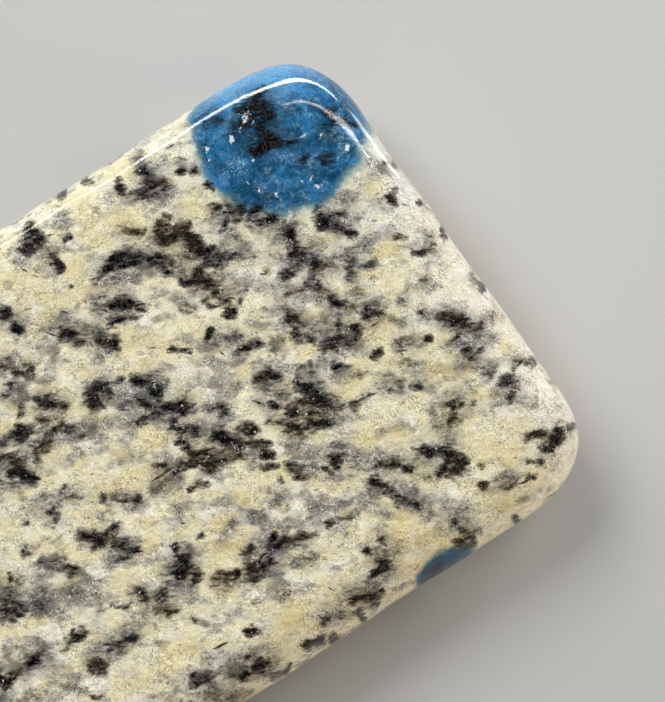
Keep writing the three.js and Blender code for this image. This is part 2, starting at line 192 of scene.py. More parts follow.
BROWN_MICA = [
    (3.75, 10.8, 0.8, 0.2, -65), (9.35, 11.2, 0.8, 0.2, -26), (10.7, 10.5, 0.9, 0.3, -12),
    (1.4, 8.87, 0.5, 0.16, -16), (3.85, 8.7, 0.3, 0.18, -10), (-1.0, 6.7, 0.8, 0.24, -55),
    (5.55, 5.45, 0.7, 0.28, -26), (9.95, 9.05, 0.6, 0.2, -58), (5.75, 3.55, 0.6, 0.16, -34),
    (12.1, 12.15, 0.5, 0.18, -10), (12.9, 7.0, 0.9, 0.4, -20), (12.4, 4.8, 0.5, 0.2, -26),
    (20.65, 5.15, 0.9, 0.2, -22), (16.5, 11.1, 1.3, 0.8, 40), (17.4, 11.7, 0.7, 0.5, 60),
    (20.35, 8.0, 1.1, 0.32, -58), (18.5, 7.1, 0.8, 0.5, 0), (17.75, 7.7, 0.5, 0.32, 20),
    (-3.3, 2.5, 0.9, 0.6, -60), (-1.6, 2.5, 1.3, 0.36, -10), (0.45, 1.95, 0.6, 0.2, -20),
    (2.8, 1.85, 0.7, 0.18, -28), (-1.55, -0.5, 0.7, 0.2, -14), (-6.3, -2.0, 0.5, 0.26, 60),
    (-3.85, -3.3, 0.8, 0.3, -60), (-1.2, -3.5, 0.9, 0.44, -70), (-0.2, -4.4, 0.6, 0.28, -50),
    (0.5, -2.1, 0.9, 0.24, -34), (2.7, -1.55, 0.7, 0.3, -10), (4.9, -2.2, 1.5, 0.5, -20),
    (5.6, -2.55, 1.5, 0.55, -26), (5.0, -3.1, 1.1, 0.34, -6), (7.3, -3.5, 0.9, 0.3, -36),
    (7.45, -2.15, 0.6, 0.3, -4), (8.6, 2.1, 0.4, 0.3, 40), (9.7, 3.1, 0.6, 0.36, 60),
    (9.4, -0.7, 0.9, 0.26, -8), (12.3, 1.1, 1.0, 0.5, 40), (14.5, 1.25, 0.8, 0.32, -54),
    (15.1, -0.1, 0.6, 0.24, -30), (13.2, 2.1, 1.1, 0.3, -14), (17.65, -1.35, 0.6, 0.16, -62),
    (18.2, -2.6, 0.9, 0.2, -24), (19.0, -3.35, 1.2, 0.36, -48), (20.3, -4.6, 1.1, 0.24, -22),
    (18.75, -4.35, 0.8, 0.22, -26), (13.0, -4.35, 2.0, 0.16, -8), (7.25, -4.65, 1.1, 0.24, -36),
    (8.35, -5.9, 0.7, 0.3, -30), (15.6, -5.2, 0.5, 0.2, -50), (1.35, -7.0, 0.8, 0.4, -50),
    (-0.9, -7.7, 1.2, 0.5, -6), (-8.5, -6.2, 0.9, 0.3, -6), (-4.7, -6.5, 0.7, 0.34, -14),
    (-2.6, -6.4, 0.9, 0.24, -34), (-3.2, -5.9, 0.8, 0.24, -14), (0.0, -8.75, 0.5, 0.2, -76),
    (6.9, -8.5, 1.4, 0.24, -14), (6.3, -8.25, 1.1, 0.3, -14), (3.2, -9.8, 0.6, 0.24, -16),
    (8.6, -8.75, 1.2, 0.24, -4), (2.1, -10.85, 0.5, 0.2, -30), (1.3, -11.9, 0.6, 0.2, -30),
    (7.55, -12.6, 1.4, 0.6, -44), (8.35, -12.9, 0.6, 0.24, 0), (12.35, -7.75, 1.0, 0.5, -50),
    (9.5, -6.35, 0.9, 0.24, -30), (11.9, -9.5, 1.0, 0.26, -58), (13.6, -9.4, 0.6, 0.3, -30),
    (16.7, -7.4, 1.3, 0.4, 0), (17.5, -7.6, 0.9, 0.2, -12), (19.5, -8.3, 0.9, 0.4, 20),
    (20.75, -7.3, 1.0, 0.24, 20), (19.4, -10.7, 1.3, 0.5, -20), (16.75, -11.9, 0.7, 0.26, -10),
    (17.55, -12.3, 0.9, 0.17, -6), (18.5, -11.8, 0.8, 0.3, -20), (9.1, -11.1, 0.5, 0.24, -72),
    (16.2, -10.4, 0.5, 0.2, -10), (4.4, -13.05, 1.1, 0.4, -14), (2.4, -13.3, 1.1, 0.3, -10),
    (20.0, 0.3, 0.8, 0.24, -10), (12.6, 3.9, 0.4, 0.3, 60), (4.4, -2.5, 1.6, 0.5, -30),
    (6.0, -3.1, 1.4, 0.4, -30), (3.9, -3.5, 1.2, 0.3, -14), (1.8, 2.7, 0.8, 0.4, -20),
    (15.2, 2.2, 0.9, 0.4, -20), (9.4, 3.8, 0.6, 0.36, -20), (19.3, 1.6, 0.7, 0.3, -40),
]
GREY_SHADOWS = [
    (3.3, 11.4, 1.2, 0.6, -20), (3.7, 10.9, 1.1, 0.6, -50), (10.3, 12.5, 0.9, 0.5, 80),
    (10.2, 11.0, 1.6, 1.1, 60), (0.5, 8.7, 1.1, 0.8, -60), (6.5, 8.5, 2.0, 0.7, -10),
    (5.7, 7.9, 1.8, 0.5, -16), (2.5, 6.9, 1.6, 0.9, -30), (3.3, 6.2, 1.7, 0.8, -35),
    (5.2, 6.7, 1.8, 0.9, -14), (4.9, 7.4, 1.1, 0.5, 10), (3.4, 5.5, 1.1, 0.6, -60),
    (-0.5, 6.6, 1.7, 0.7, -50), (-1.5, 5.4, 1.2, 0.7, -50), (-0.2, 4.1, 1.6, 0.8, -40),
    (2.2, 3.4, 1.9, 0.6, -8), (8.3, 7.5, 1.5, 1.0, -50), (9.4, 8.0, 1.9, 1.1, -20),
    (9.6, 6.6, 2.1, 1.0, -14), (10.7, 5.9, 1.3, 0.6, -30), (9.7, 4.9, 1.7, 0.9, -50),
    (10.3, 5.0, 0.7, 0.5, 0), (10.3, 4.2, 0.9, 0.6, -30), (8.3, 4.4, 0.7, 0.4, -30),
    (7.9, 9.3, 0.9, 0.5, -20), (12.6, 7.4, 1.8, 0.9, -22), (12.1, 6.5, 1.2, 0.6, -50),
    (13.9, 6.1, 1.5, 0.7, -50), (12.2, 5.0, 1.1, 0.5, -24), (14.6, 4.3, 2.0, 1.0, 84),
    (14.9, 3.2, 1.5, 0.9, -70), (17.2, 4.5, 1.6, 1.0, -50), (17.0, 3.6, 1.3, 0.7, -30),
    (16.7, 2.2, 1.9, 0.7, -14), (15.3, 2.3, 1.5, 0.9, -20), (16.4, 1.5, 1.2, 0.8, 40),
    (20.6, 5.1, 1.1, 0.5, -20), (15.6, 10.6, 1.3, 0.8, -20), (17.0, 11.2, 2.1, 1.4, 40),
    (19.3, 8.4, 0.9, 0.7, 0), (16.5, 9.2, 2.3, 0.6, -25), (14.6, 12.1, 1.4, 0.5, -20),
    (-2.7, 3.6, 1.6, 0.6, -14), (-3.2, 2.2, 1.7, 1.0, -60), (-1.2, 2.6, 2.3, 0.7, -10),
    (-0.7, 3.5, 1.3, 0.6, -20), (0.6, 2.4, 1.6, 0.5, -16), (1.6, 1.8, 1.7, 0.4, -24),
    (3.4, 1.7, 1.4, 0.6, -30), (4.0, 1.5, 1.1, 1.0, 0), (4.6, 2.0, 1.5, 0.9, 84), (4.8, 0.6, 2.3, 1.2, -30),
    (4.7, -1.0, 1.7, 0.8, -60), (-3.1, -0.3, 1.4, 0.8, -60), (-3.0, 0.2, 0.8, 0.5, 0),
    (-6.8, -2.9, 1.7, 1.4, -60), (-6.3, -3.6, 1.2, 0.6, -10), (-4.1, -2.5, 1.1, 0.4, -14),
    (-4.1, -4.3, 1.0, 0.7, 0), (-5.9, -4.2, 0.9, 0.5, 0), (-5.5, -3.4, 0.7, 0.4, -20),
    (-1.3, -4.3, 1.4, 0.6, -10), (-1.8, -2.9, 1.4, 0.6, -20), (0.3, -1.9, 1.4, 0.5, -30),
    (2.6, -2.4, 1.7, 0.7, -4), (2.7, -1.6, 0.9, 0.5, 0), (5.9, -1.8, 1.6, 1.0, -30),
    (6.6, -2.9, 1.8, 0.7, -36), (6.7, -0.8, 1.2, 0.7, -40), (8.4, 2.5, 0.7, 0.5, 0),
    (9.5, 1.9, 1.2, 0.5, 80), (9.6, 1.0, 1.3, 0.7, -14), (10.9, 0.5, 1.0, 0.5, -20),
    (9.9, -0.9, 1.3, 0.6, -40), (9.5, -1.7, 1.6, 1.0, -30), (10.2, -3.3, 2.2, 1.1, -10),
    (11.3, -3.2, 1.9, 1.2, -56), (9.6, -4.3, 1.4, 0.4, -10), (12.4, 1.1, 1.2, 0.8, 0),
    (12.9, 0.1, 1.6, 0.8, -40), (13.9, -0.5, 1.6, 1.1, -20), (13.6, -1.6, 1.9, 0.7, -10),
    (14.4, 1.2, 1.6, 0.6, -60), (15.2, -0.2, 1.0, 0.5, -40), (15.7, 0.3, 0.7, 0.4, 0),
    (15.7, -1.2, 1.5, 0.8, -10), (13.4, 2.1, 1.4, 0.5, -14), (18.9, -1.15, 0.85, 0.34, -6),
    (18.2, -0.9, 0.4, 0.26, 0), (19.2, -1.5, 0.45, 0.24, -8), (17.6, -1.3, 0.7, 0.26, -60),
    (16.8, -2.0, 0.7, 0.4, -50), (20.1, 0.5, 0.9, 0.6, 10), (20.4, 0.8, 0.5, 0.3, 0),
    (16.3, -3.2, 1.0, 0.6, -20), (17.0, -3.4, 0.8, 0.5, -30), (15.9, -4.1, 0.7, 0.5, 0),
    (18.4, -2.7, 1.2, 0.4, -26), (19.3, -3.9, 2.3, 0.7, -54), (18.6, -4.4, 1.3, 0.5, -10),
    (20.3, -4.4, 1.3, 0.5, -20), (19.4, -5.3, 1.3, 0.8, -10), (20.2, -5.4, 0.6, 0.5, 0),
    (18.2, -5.6, 0.9, 0.26, -20), (19.1, -6.5, 0.8, 0.5, -50), (14.6, -4.6, 1.2, 0.8, -50),
    (12.9, -4.4, 1.0, 0.2, 0), (0.9, -6.1, 1.7, 1.2, 20), (-0.8, -7.4, 1.6, 1.1, 0),
    (0.4, -7.2, 1.7, 0.6, -20), (-1.3, -6.5, 1.0, 0.6, -60), (-7.4, -6.2, 1.8, 0.8, 0),
    (-4.8, -7.8, 1.5, 0.9, -20), (-3.3, -7.7, 1.7, 0.8, 0), (2.6, -8.3, 1.6, 0.7, -20),
    (4.7, -8.4, 2.2, 1.1, -6), (6.4, -8.5, 1.5, 0.4, -14), (6.0, -9.3, 0.9, 0.5, -20),
    (5.4, -6.3, 0.9, 0.5, -30), (6.6, -6.3, 0.5, 0.4, 60), (4.1, -6.1, 0.9, 0.3, 0),
    (-1.1, -11.3, 1.2, 0.6, -30), (-0.3, -11.0, 0.9, 0.4, 0), (0.7, -12.2, 1.5, 0.8, -20),
    (1.7, -12.4, 1.3, 0.8, -10), (5.8, -12.5, 1.3, 0.6, -20), (7.6, -12.3, 1.6, 0.8, -30),
    (8.6, -12.2, 1.3, 0.6, 0), (8.0, -7.9, 0.8, 0.3, -10), (9.4, -8.8, 1.6, 0.4, -4),
    (9.6, -8.2, 1.0, 0.26, 0), (8.5, -5.5, 0.9, 0.6, -50), (10.6, -5.9, 1.1, 0.7, -40),
    (10.6, -5.55, 0.44, 0.34, 0), (11.3, -7.0, 1.6, 0.6, -36), (12.4, -7.7, 1.2, 0.8, -50),
    (13.2, -8.5, 1.2, 0.6, -50), (12.2, -9.2, 1.2, 0.5, -60), (12.4, -10.6, 1.2, 0.4, -56),
    (13.3, -11.4, 0.9, 0.4, -50), (14.4, -8.8, 2.0, 1.3, -30), (15.5, -8.4, 1.0, 0.8, 0),
    (16.5, -7.1, 1.6, 0.9, -6), (17.0, -7.8, 1.2, 0.4, -8), (19.6, -8.2, 1.0, 0.8, -60),
    (20.8, -7.2, 0.7, 0.3, 16), (20.0, -11.2, 1.2, 0.7, -20), (16.8, -11.6, 1.0, 0.4, -10),
    (13.7, -12.5, 0.9, 0.5, -60), (14.2, -11.8, 0.6, 0.4, 30), (9.6, -11.4, 1.4, 1.0, 30),
    (9.2, -12.2, 1.2, 0.5, 0), (10.5, -8.6, 1.2, 0.7, 0), (21.2, -2.4, 0.9, 0.3, 84),
    (21.2, 4.8, 0.5, 0.3, 80), (17.4, 4.2, 1.4, 0.9, -40), (15.3, 3.7, 1.0, 0.8, 0),
    (10.9, 3.8, 0.9, 0.5, -30), (11.0, -7.4, 1.2, 0.5, -30), (6.2, -9.4, 1.1, 0.6, -20),
    (14.9, 7.0, 1.0, 0.5, -20), (2.9, 1.3, 0.9, 0.5, -20), (13.0, -2.9, 1.1, 0.5, -20),
    (-1.8, -0.3, 1.1, 0.6, -20),
]
OCHRE_STAINS = [
    (4.6, 9.3, 1.2, 0.9, -10), (6.5, 5.65, 1.0, 0.7, -6), (8.0, 10.0, 1.2, 0.7, 0),
    (0.4, 4.6, 1.1, 0.7, -20), (-1.9, 5.0, 0.5, 0.6, 0), (11.3, 8.9, 1.6, 1.0, -30),
    (4.8, 4.4, 1.5, 0.7, -10), (12.6, 3.9, 0.6, 0.5, 0), (19.8, 4.5, 1.2, 0.7, 0),
    (18.6, 1.35, 1.1, 0.6, -10), (18.1, -6.2, 0.9, 0.9, 0), (18.0, -5.3, 1.2, 0.6, -20),
    (17.1, -5.3, 1.3, 0.8, -10), (3.65, -5.6, 0.9, 0.8, 0), (5.35, -5.1, 0.8, 0.6, 0),
    (3.3, -6.8, 1.8, 0.9, -10), (8.7, -6.5, 0.8, 0.4, -10), (3.2, -0.4, 1.1, 0.9, 0),
    (1.4, 0.2, 1.1, 0.6, -40), (0.5, -1.3, 1.1, 0.4, -10), (-6.4, -2.0, 0.6, 0.6, 60),
    (-3.4, -2.6, 1.0, 0.7, 0), (-5.2, 0.1, 1.1, 0.7, -20), (0.4, -4.7, 0.9, 0.6, -10),
    (12.1, -6.1, 1.2, 0.9, 0), (13.3, -7.0, 1.2, 0.8, 0), (18.3, -7.4, 1.3, 0.7, -30),
    (17.7, -11.0, 1.2, 0.8, 0), (16.4, -12.3, 0.9, 0.8, 0), (-1.3, -9.8, 2.0, 1.0, -10),
    (6.35, -10.85, 0.45, 0.45, 0), (11.2, -10.8, 1.5, 1.2, 0), (11.8, -12.0, 1.4, 0.8, 0),
    (12.8, -3.5, 1.9, 0.8, -10), (13.4, 0.6, 1.1, 0.8, 0), (20.5, -6.2, 0.7, 0.5, 0),
    (2.0, -1.3, 1.0, 0.6, 0), (9.0, 0.2, 0.9, 0.5, 0), (-3.6, 4.4, 1.0, 0.6, 0), (16.3, -10.3, 0.9, 0.6, 0),
    (9.6, -10.3, 1.0, 0.7, 0), (4.2, -11.4, 1.8, 1.1, 0),
]
# Where glints of light on the mica are painted: x, y, long, wide, turn
SILVER_GLINTS = [
    (11.35, -6.95, 1.5, 0.7, -36), (10.8, -6.6, 0.9, 0.4, -34), (16.1, 11.3, 0.45, 0.3, 0),
    (3.1, -2.1, 0.4, 0.3, 0), (0.6, 2.95, 1.3, 0.4, -10), (12.2, 7.8, 0.5, 0.2, -40),
    (6.6, -3.05, 0.6, 0.3, -30), (4.7, 2.1, 0.5, 0.2, 0), (-0.7, -7.2, 0.5, 0.24, 0),
    (4.6, -8.2, 0.3, 0.2, 0), (14.3, 4.3, 0.5, 0.5, 0), (8.2, -7.9, 0.4, 0.3, 0), (1.7, 6.3, 0.35, 0.25, 0),
    (11.6, -2.75, 0.4, 0.3, 0), (13.2, -10.9, 0.6, 0.6, 0),
]
WHITE_GRAINS_IN_AZURITE = [  # x, y, size
    (14.9, 10.7, 0.38), (13.55, 10.9, 0.24), (13.4, 10.4, 0.15), (15.65, 10.95, 0.12), (16.4, 10.75, 0.16),
    (17.6, 10.75, 0.14), (15.15, 9.3, 0.2), (14.7, 9.25, 0.12), (14.62, 8.1, 0.15), (14.58, 7.63, 0.2),
    (15.4, 6.8, 0.28), (16.68, 6.72, 0.14), (17.2, 6.5, 0.2), (17.25, 6.05, 0.22), (18.1, 8.8, 0.24),
    (19.65, 6.95, 0.22), (19.0, 8.35, 0.12), (16.0, 11.2, 0.24), (17.5, 6.0, 0.1), (14.3, 8.2, 0.1),
]

# For each kind of mark: its strokes on the face; how soft their edges are, as a width and as a share of the
# stroke's own; and, for the hidden surfaces, clusters per mm2, strokes in each, their length, width and spread
KINDS = {
    "mica": (BLACK_MICA, (0.05, 0.36), (0.13, (2, 8), 0.8, 0.3, 0.6)),
    "brown": (BROWN_MICA, (0.1, 0.35), (0.07, (1, 3), 0.8, 0.28, 0.6)),
    "shadow": (GREY_SHADOWS, (0.16, 0.5), (0.09, (1, 4), 1.4, 0.75, 0.7)),
    "ochre": (OCHRE_STAINS, (0.2, 0.5), (0.035, (1, 3), 1.1, 0.75, 0.5)),
    "glint": (SILVER_GLINTS, (0.1, 0.3), (0.014, (1, 3), 0.7, 0.35, 0.5)),
}
GRAIN_SOFTNESS = (0.12, 0.0)
FAR = 3.0  # the distance at which a mark no longer shows, in its softness
OUT_OF_SIGHT = 4.0  # added to the distance of the face's marks where the photo doesn't show the stone
FOLIATION = -32.0  # the direction of the rock's grain in plan, in degrees from +X
NEEDLE_WIDTH, NEEDLE_LENGTH = 0.18, 0.5  # a stroke at most so wide and at least so long is a needle
USUAL_NEEDLE = 0.17  # the width that the distance across a needle is scaled to
DRIFT_WAVES = (3.0, 2.1, 1.5, 1.2, 0.9, 0.75, 0.6, 0.5)  # lengths of the waves that make strokes ragged

# Where the photo shows the stone: by height, and by the picture's left and lower borders on the face, each as
# per x, per y, and the sums of the two that are hidden and fully shown
SHOWN_HEIGHTS = (2.9, 3.7)
SHOWN_BORDERS = [(1.0, -0.611, -7.0, -5.9), (1.0, 1.52, -20.3, -19.2)]


# The outline

def quarter_corner(name, sign_x, sign_y, inset):
    """A corner in plan as points and outward normals, from its X side to its Y side, inset from the outline."""
    reach = CORNER_REACH[name] - inset * CORNER_TIGHTENING
    turn = np.linspace(0, math.pi / 2, CORNER_STEPS + 1)
    along_x = np.clip(np.cos(turn), 0, 1) ** (2 / CORNER_POWER)
    along_y = np.clip(np.sin(turn), 0, 1) ** (2 / CORNER_POWER)
    points = np.column_stack(
        [
            sign_x * (LENGTH / 2 - inset - reach + reach * along_x),
            sign_y * (WIDTH / 2 - inset - reach + reach * along_y),
        ]
    )
    normals = np.column_stack([sign_x * along_x ** (CORNER_POWER - 1), sign_y * along_y ** (CORNER_POWER - 1)])
    return points, normals / np.linalg.norm(normals, axis=1, keepdims=True)


def outline_sides(inset):
    """An inset outline counter-clockwise as four sides, each from a corner's middle to the next one's."""
    bare = quarter_corner("bare", 1, -1, inset)
    azurite = quarter_corner("azurite", 1, 1, inset)
    far_left = quarter_corner("far left", -1, 1, inset)
    far_right = quarter_corner("far right", -1, -1, inset)
    x_half, y_half = slice(0, CORNER_STEPS // 2 + 1), slice(CORNER_STEPS // 2, None)

    def half(corner, share, backwards=False):
        return [values[share][::-1] if backwards else values[share] for values in corner]

    def join(start, end):
        return [np.concatenate(pair) for pair in zip(start, end)]

    return [
        join(half(bare, x_half, True), half(azurite, x_half)),
        join(half(azurite, y_half), half(far_left, y_half, True)),
        join(half(far_left, x_half, True), half(far_right, x_half)),
        join(half(far_right, y_half), half(bare, y_half, True)),
    ]


def even_steps(points, normals, count):
    """A side cut into count equal steps."""
    lengths = np.concatenate([[0], np.cumsum(np.linalg.norm(np.diff(points, axis=0), axis=1))])
    at = np.linspace(0, lengths[-1], count + 1)
    points, normals = (
        np.column_stack([np.interp(at, lengths, column) for column in values.T]) for values in (points, normals)
    )
    return points, normals / np.linalg.norm(normals, axis=1, keepdims=True)


def cut_by_hand(points, normals, wave_share):
    """The outline's waves, the skewed end and the narrower far end."""
    wave = sum(h * np.sin(px * points[:, 0] + py * points[:, 1] + phase) for h, px, py, phase in HAND_WAVES)
    x, y = (points + normals * (wave * wave_share)[:, None]).T
    from_far_end = x / LENGTH + 0.5
    from_left_side = 0.5 - y / WIDTH
    return np.column_stack(
        [
            x - math.tan(END_SKEW) * y * from_far_end,
            y + FAR_END_NARROWING * (1 - from_far_end) * from_left_side,
        ]
    )


# The surface

def rim_steps(rim, rings):
    """Inset and drop of each ring of a rim, evenly spaced along its section, from the wall to the flat."""
    reach, drop = rim
    turn = np.linspace(math.pi / 2, 0, RIM_STEPS + 1)
    inset, fall = reach * (1 - np.sin(turn)), drop * (1 - np.cos(turn))
    lengths = np.concatenate([[0], np.cumsum(np.hypot(np.diff(inset), np.diff(fall)))])
    at = np.linspace(0, lengths[-1], rings + 1)
    return np.interp(at, lengths, inset), np.interp(at, lengths, fall)


def ring_places(nx, ny, k):
    """Grid places of ring k, side by side in the outline's order; neighbouring sides share their corner."""
    up, left = np.arange(k, ny - k + 1), np.arange(nx - k, k - 1, -1)
    return [
        (np.full(up.size, nx - k), up),
        (left, np.full(left.size, ny - k)),
        (np.full(up.size, k), up[::-1]),
        (left[::-1], np.full(left.size, k)),
    ]


def rectangle_side(side, half_x, half_y, count):
    """A side of a plain rectangle in the outline's order."""
    corners = np.array([[1, -1], [1, 1], [-1, 1], [-1, -1], [1, -1]]) * [half_x, half_y]
    share = np.linspace(0, 1, count + 1)[:, None]
    return corners[side] * (1 - share) + corners[side + 1] * share


def slab_side(nx, ny, rings, rim, is_face):
    """The polished face or the back with its rim, as a grid of points."""
    grid = np.zeros((nx + 1, ny + 1, 3))
    insets, falls = rim_steps(rim, rings)
    inner_sides = outline_sides(rim[0])
    inner_x, inner_y = LENGTH / 2 - rim[0], WIDTH / 2 - rim[0]
    for k in range(min(nx, ny) // 2 + 1):
        in_rim = k <= rings
        half_x = inner_x * (nx / 2 - k) / (nx / 2 - rings)
        half_y = inner_y * (ny / 2 - k) / (ny / 2 - rings)
        fall = falls[k] if in_rim else 0.0
        sides = outline_sides(insets[k]) if in_rim else inner_sides
        for side, (i, j) in enumerate(ring_places(nx, ny, k)):
            count = i.size - 1
            if in_rim:
                points, normals = even_steps(*sides[side], max(count, 1))
            else:
                points, normals = rounded_inside(side, sides, (inner_x, inner_y), (half_x, half_y), count)
            share = 1.0 if in_rim else max(0.0, 1 - (k - rings) / WAVE_RINGS)
            points = cut_by_hand(points[: i.size], normals[: i.size], np.full(i.size, share))
            height = THICKNESS - fall if is_face else fall
            grid[i, j] = np.column_stack([points, np.full(i.size, height)])
    return grid


def rounded_inside(side, sides, inner, half, count):
    """A ring of the flat: a rectangle that takes on the rim's rounded corners towards the rim."""
    steps = max(count, 1)
    at_rim, rim_normals = even_steps(*sides[side], steps)
    strays = at_rim - rectangle_side(side, *inner, steps)
    fade = max(0.0, 1 - (inner[1] - half[1]) / CORNER_FADE)
    return rectangle_side(side, *half, steps) + strays * fade, rim_normals


def closed_ring(nx, ny):
    """Grid places of the outermost ring, each once."""
    sides = ring_places(nx, ny, 0)
    return np.concatenate([i[:-1] for i, _ in sides]), np.concatenate([j[:-1] for _, j in sides])


def grid_quads(index):
    return np.stack([index[:-1, :-1], index[1:, :-1], index[1:, 1:], index[:-1, 1:]], -1).reshape(-1, 4)


def tablet_surface():
    """Points and faces of the whole tablet: a fine face, walls, and a back of half as many steps."""
    nx, ny, rings = FACE_STEPS
    face = slab_side(nx, ny, rings, FACE_RIM, True)
    back = slab_side(nx // 2, ny // 2, rings // 2 - 2, BACK_RIM, False)
    face_index = np.arange(face[..., 0].size).reshape(face.shape[:2])
    back_index = face_index.size + np.arange(back[..., 0].size).reshape(back.shape[:2])
    points = [face.reshape(-1, 3), back.reshape(-1, 3)]
    quads = [grid_quads(face_index), grid_quads(back_index)[:, ::-1]]
    plan = face[closed_ring(nx, ny)][:, :2]
    upper = face_index[closed_ring(nx, ny)]
    start = face_index.size + back_index.size
    for height in np.linspace(THICKNESS - FACE_RIM[1], BACK_RIM[1], WALL_STEPS + 2)[1:-1]:
        points.append(np.column_stack([plan, np.full(len(plan), height)]))
        lower = start + np.arange(len(plan))
        start += len(plan)
        quads.append(np.stack([np.roll(upper, -1), upper, lower, np.roll(lower, -1)], 1))
        upper = lower
    triangles = halving_strip(upper, back_index[closed_ring(nx // 2, ny // 2)])
    return np.concatenate(points), np.concatenate(quads), triangles


def halving_strip(fine, coarse):
    """Triangles between a ring and one of half as many points below it."""
    start, middle, end = fine[0::2], fine[1::2], np.roll(fine, -2)[0::2]
    below, below_next = coarse, np.roll(coarse, -1)
    corners = [(middle, start, below), (middle, below, below_next), (end, middle, below_next)]
    return np.concatenate([np.stack(triangle, 1) for triangle in corners])


def sink_pits(points, normals):
    """Sinks each pit into the surface as half an ellipsoid."""
    for x, y, height, long, wide, deep, tilt in PITS:
        nearest = np.argmin(np.linalg.norm(points - (x, y, height), axis=1))
        centre, outward = points[nearest], normals[nearest]
        along = np.cross((0, 0, 1), outward)
        along /= np.linalg.norm(along)
        up = np.cross(outward, along)
        cos, sin = math.cos(math.radians(tilt)), math.sin(math.radians(tilt))
        away = points - centre
        u = (away @ along * cos + away @ up * sin) / (long / 2)
        v = (away @ up * cos - away @ along * sin) / (wide / 2)
        ragged = 1 + PIT_RAGGEDNESS * np.sin(9 * u + 2 * x) * np.cos(7 * v + y)
        depth = deep * np.sqrt(np.clip(1 - (u * u + v * v) * ragged, 0, 1))
        points = points - normals * (depth * (np.abs(away @ outward) < PIT_ZONE))[:, None]
    return points


# The marks' distances

def seen_on_face(points):
    """Where a line from the camera through each point meets the plane of the face."""
    away = points - CAMERA_AT
    return CAMERA_AT[:2] + away[:, :2] * ((THICKNESS - CAMERA_AT[2]) / away[:, 2])[:, None]


def drifted(points, rng, reach):
    """The points moved about a little by waves of several lengths, so that strokes come out ragged."""
    moved = points.copy()
    for column in range(points.shape[1]):
        for length in DRIFT_WAVES:
            direction = rng.normal(size=points.shape[1])
            direction *= 2 * math.pi / (length * np.linalg.norm(direction))
            height = reach * length ** 0.7
            moved[:, column] += height * np.sin(points @ direction + rng.uniform(0, 2 * math.pi)) * 0.5
    return moved


def stroke_distance(along, across, long, wide, softness):
    """Distance to a stroke with round ends, measured in its softness; negative inside it."""
    reach = max(long - wide, 0) / 2
    distance = np.hypot(np.clip(np.abs(along) - reach, 0, None), across) - wide / 2
    return distance / (softness[0] + softness[1] * wide)


def along_and_across(plan, x, y, turn):
    angle = math.radians(turn)
    dx, dy = plan[:, 0] - x, plan[:, 1] - y
    return dx * math.cos(angle) + dy * math.sin(angle), dy * math.cos(angle) - dx * math.sin(angle)


def flat_strokes(plan, strokes, softness):
    """The least distance to the strokes on the face."""
    least = np.full(len(plan), FAR)
    for x, y, long, wide, turn in strokes:
        along, across = along_and_across(plan, x, y, turn)
        least = np.minimum(least, stroke_distance(along, across, long, wide, softness))
    return least


def deep_strokes(points, strokes, softness):
    """The same for strokes that run through the rock: each a centre, a direction, a length and a width."""
    least = np.full(len(points), FAR)
    for centre, direction, long, wide in strokes:
        reach = long / 2 + wide + FAR * (softness[0] + softness[1] * wide)
        near = np.flatnonzero(np.abs(points - centre).max(axis=1) < reach)
        away = points[near] - centre
        along = away @ direction
        across = np.sqrt(np.clip((away * away).sum(axis=1) - along * along, 0, None))
        least[near] = np.minimum(least[near], stroke_distance(along, across, long, wide, softness))
    return least


def needle_fields(plan, needles):
    """The distance across the nearest needle, how far a point lies beyond its ends, and the distance to it."""
    across, beyond, least = (np.full(len(plan), FAR) for _ in range(3))
    for x, y, long, wide, turn in needles:
        along, side = along_and_across(plan, x, y, turn)
        end = np.abs(along) - (long - wide) / 2
        distance = np.hypot(np.clip(end, 0, None), side)
        nearer = distance < least
        least = np.where(nearer, distance, least)
        across = np.where(nearer, side * USUAL_NEEDLE / wide, across)
        beyond = np.where(nearer, end, beyond)
    return across, beyond, least


def hidden_strokes(points, weights, rng, scatter):
    """Clusters of strokes for the surfaces that the photo doesn't show, spread evenly over them."""
    density, count, usual_long, usual_wide, spread = scatter
    found = []
    clusters = int(weights.sum() * density)
    for centre in points[rng.choice(len(points), clusters, p=weights / weights.sum())]:
        turn = math.radians(rng.normal(FOLIATION, 20))
        for _ in range(rng.integers(*count)):
            angle = turn + rng.normal(0, 0.45)
            direction = Vector((math.cos(angle), math.sin(angle), rng.normal(0, 0.35))).normalized()
            run = rng.normal(0, spread)
            place = centre + np.array([math.cos(turn), math.sin(turn), 0]) * run
            place = place + rng.normal(0, spread * 0.4, 3)
            place = points[np.argmin(((points - place) ** 2).sum(axis=1))]
            long = usual_long * math.exp(rng.normal(0, 0.45))
            wide = min(usual_wide * math.exp(rng.normal(0, 0.45)), long)
            found.append((place, np.array(direction), long, wide))
    return found


def is_needle(stroke):
    return stroke[3] <= NEEDLE_WIDTH and stroke[2] >= NEEDLE_LENGTH


def smooth_step(value, low, high):
    share = np.clip((value - low) / (high - low), 0, 1)
    return share * share * (3 - 2 * share)


def shown_share(points, plan):
    """1 where the photo shows the stone, 0 where it doesn't."""
    shown = smooth_step(points[:, 2], *SHOWN_HEIGHTS)
    for per_x, per_y, hidden_below, shown_above in SHOWN_BORDERS:
        shown *= smooth_step(per_x * plan[:, 0] + per_y * plan[:, 1], hidden_below, shown_above)
    return shown


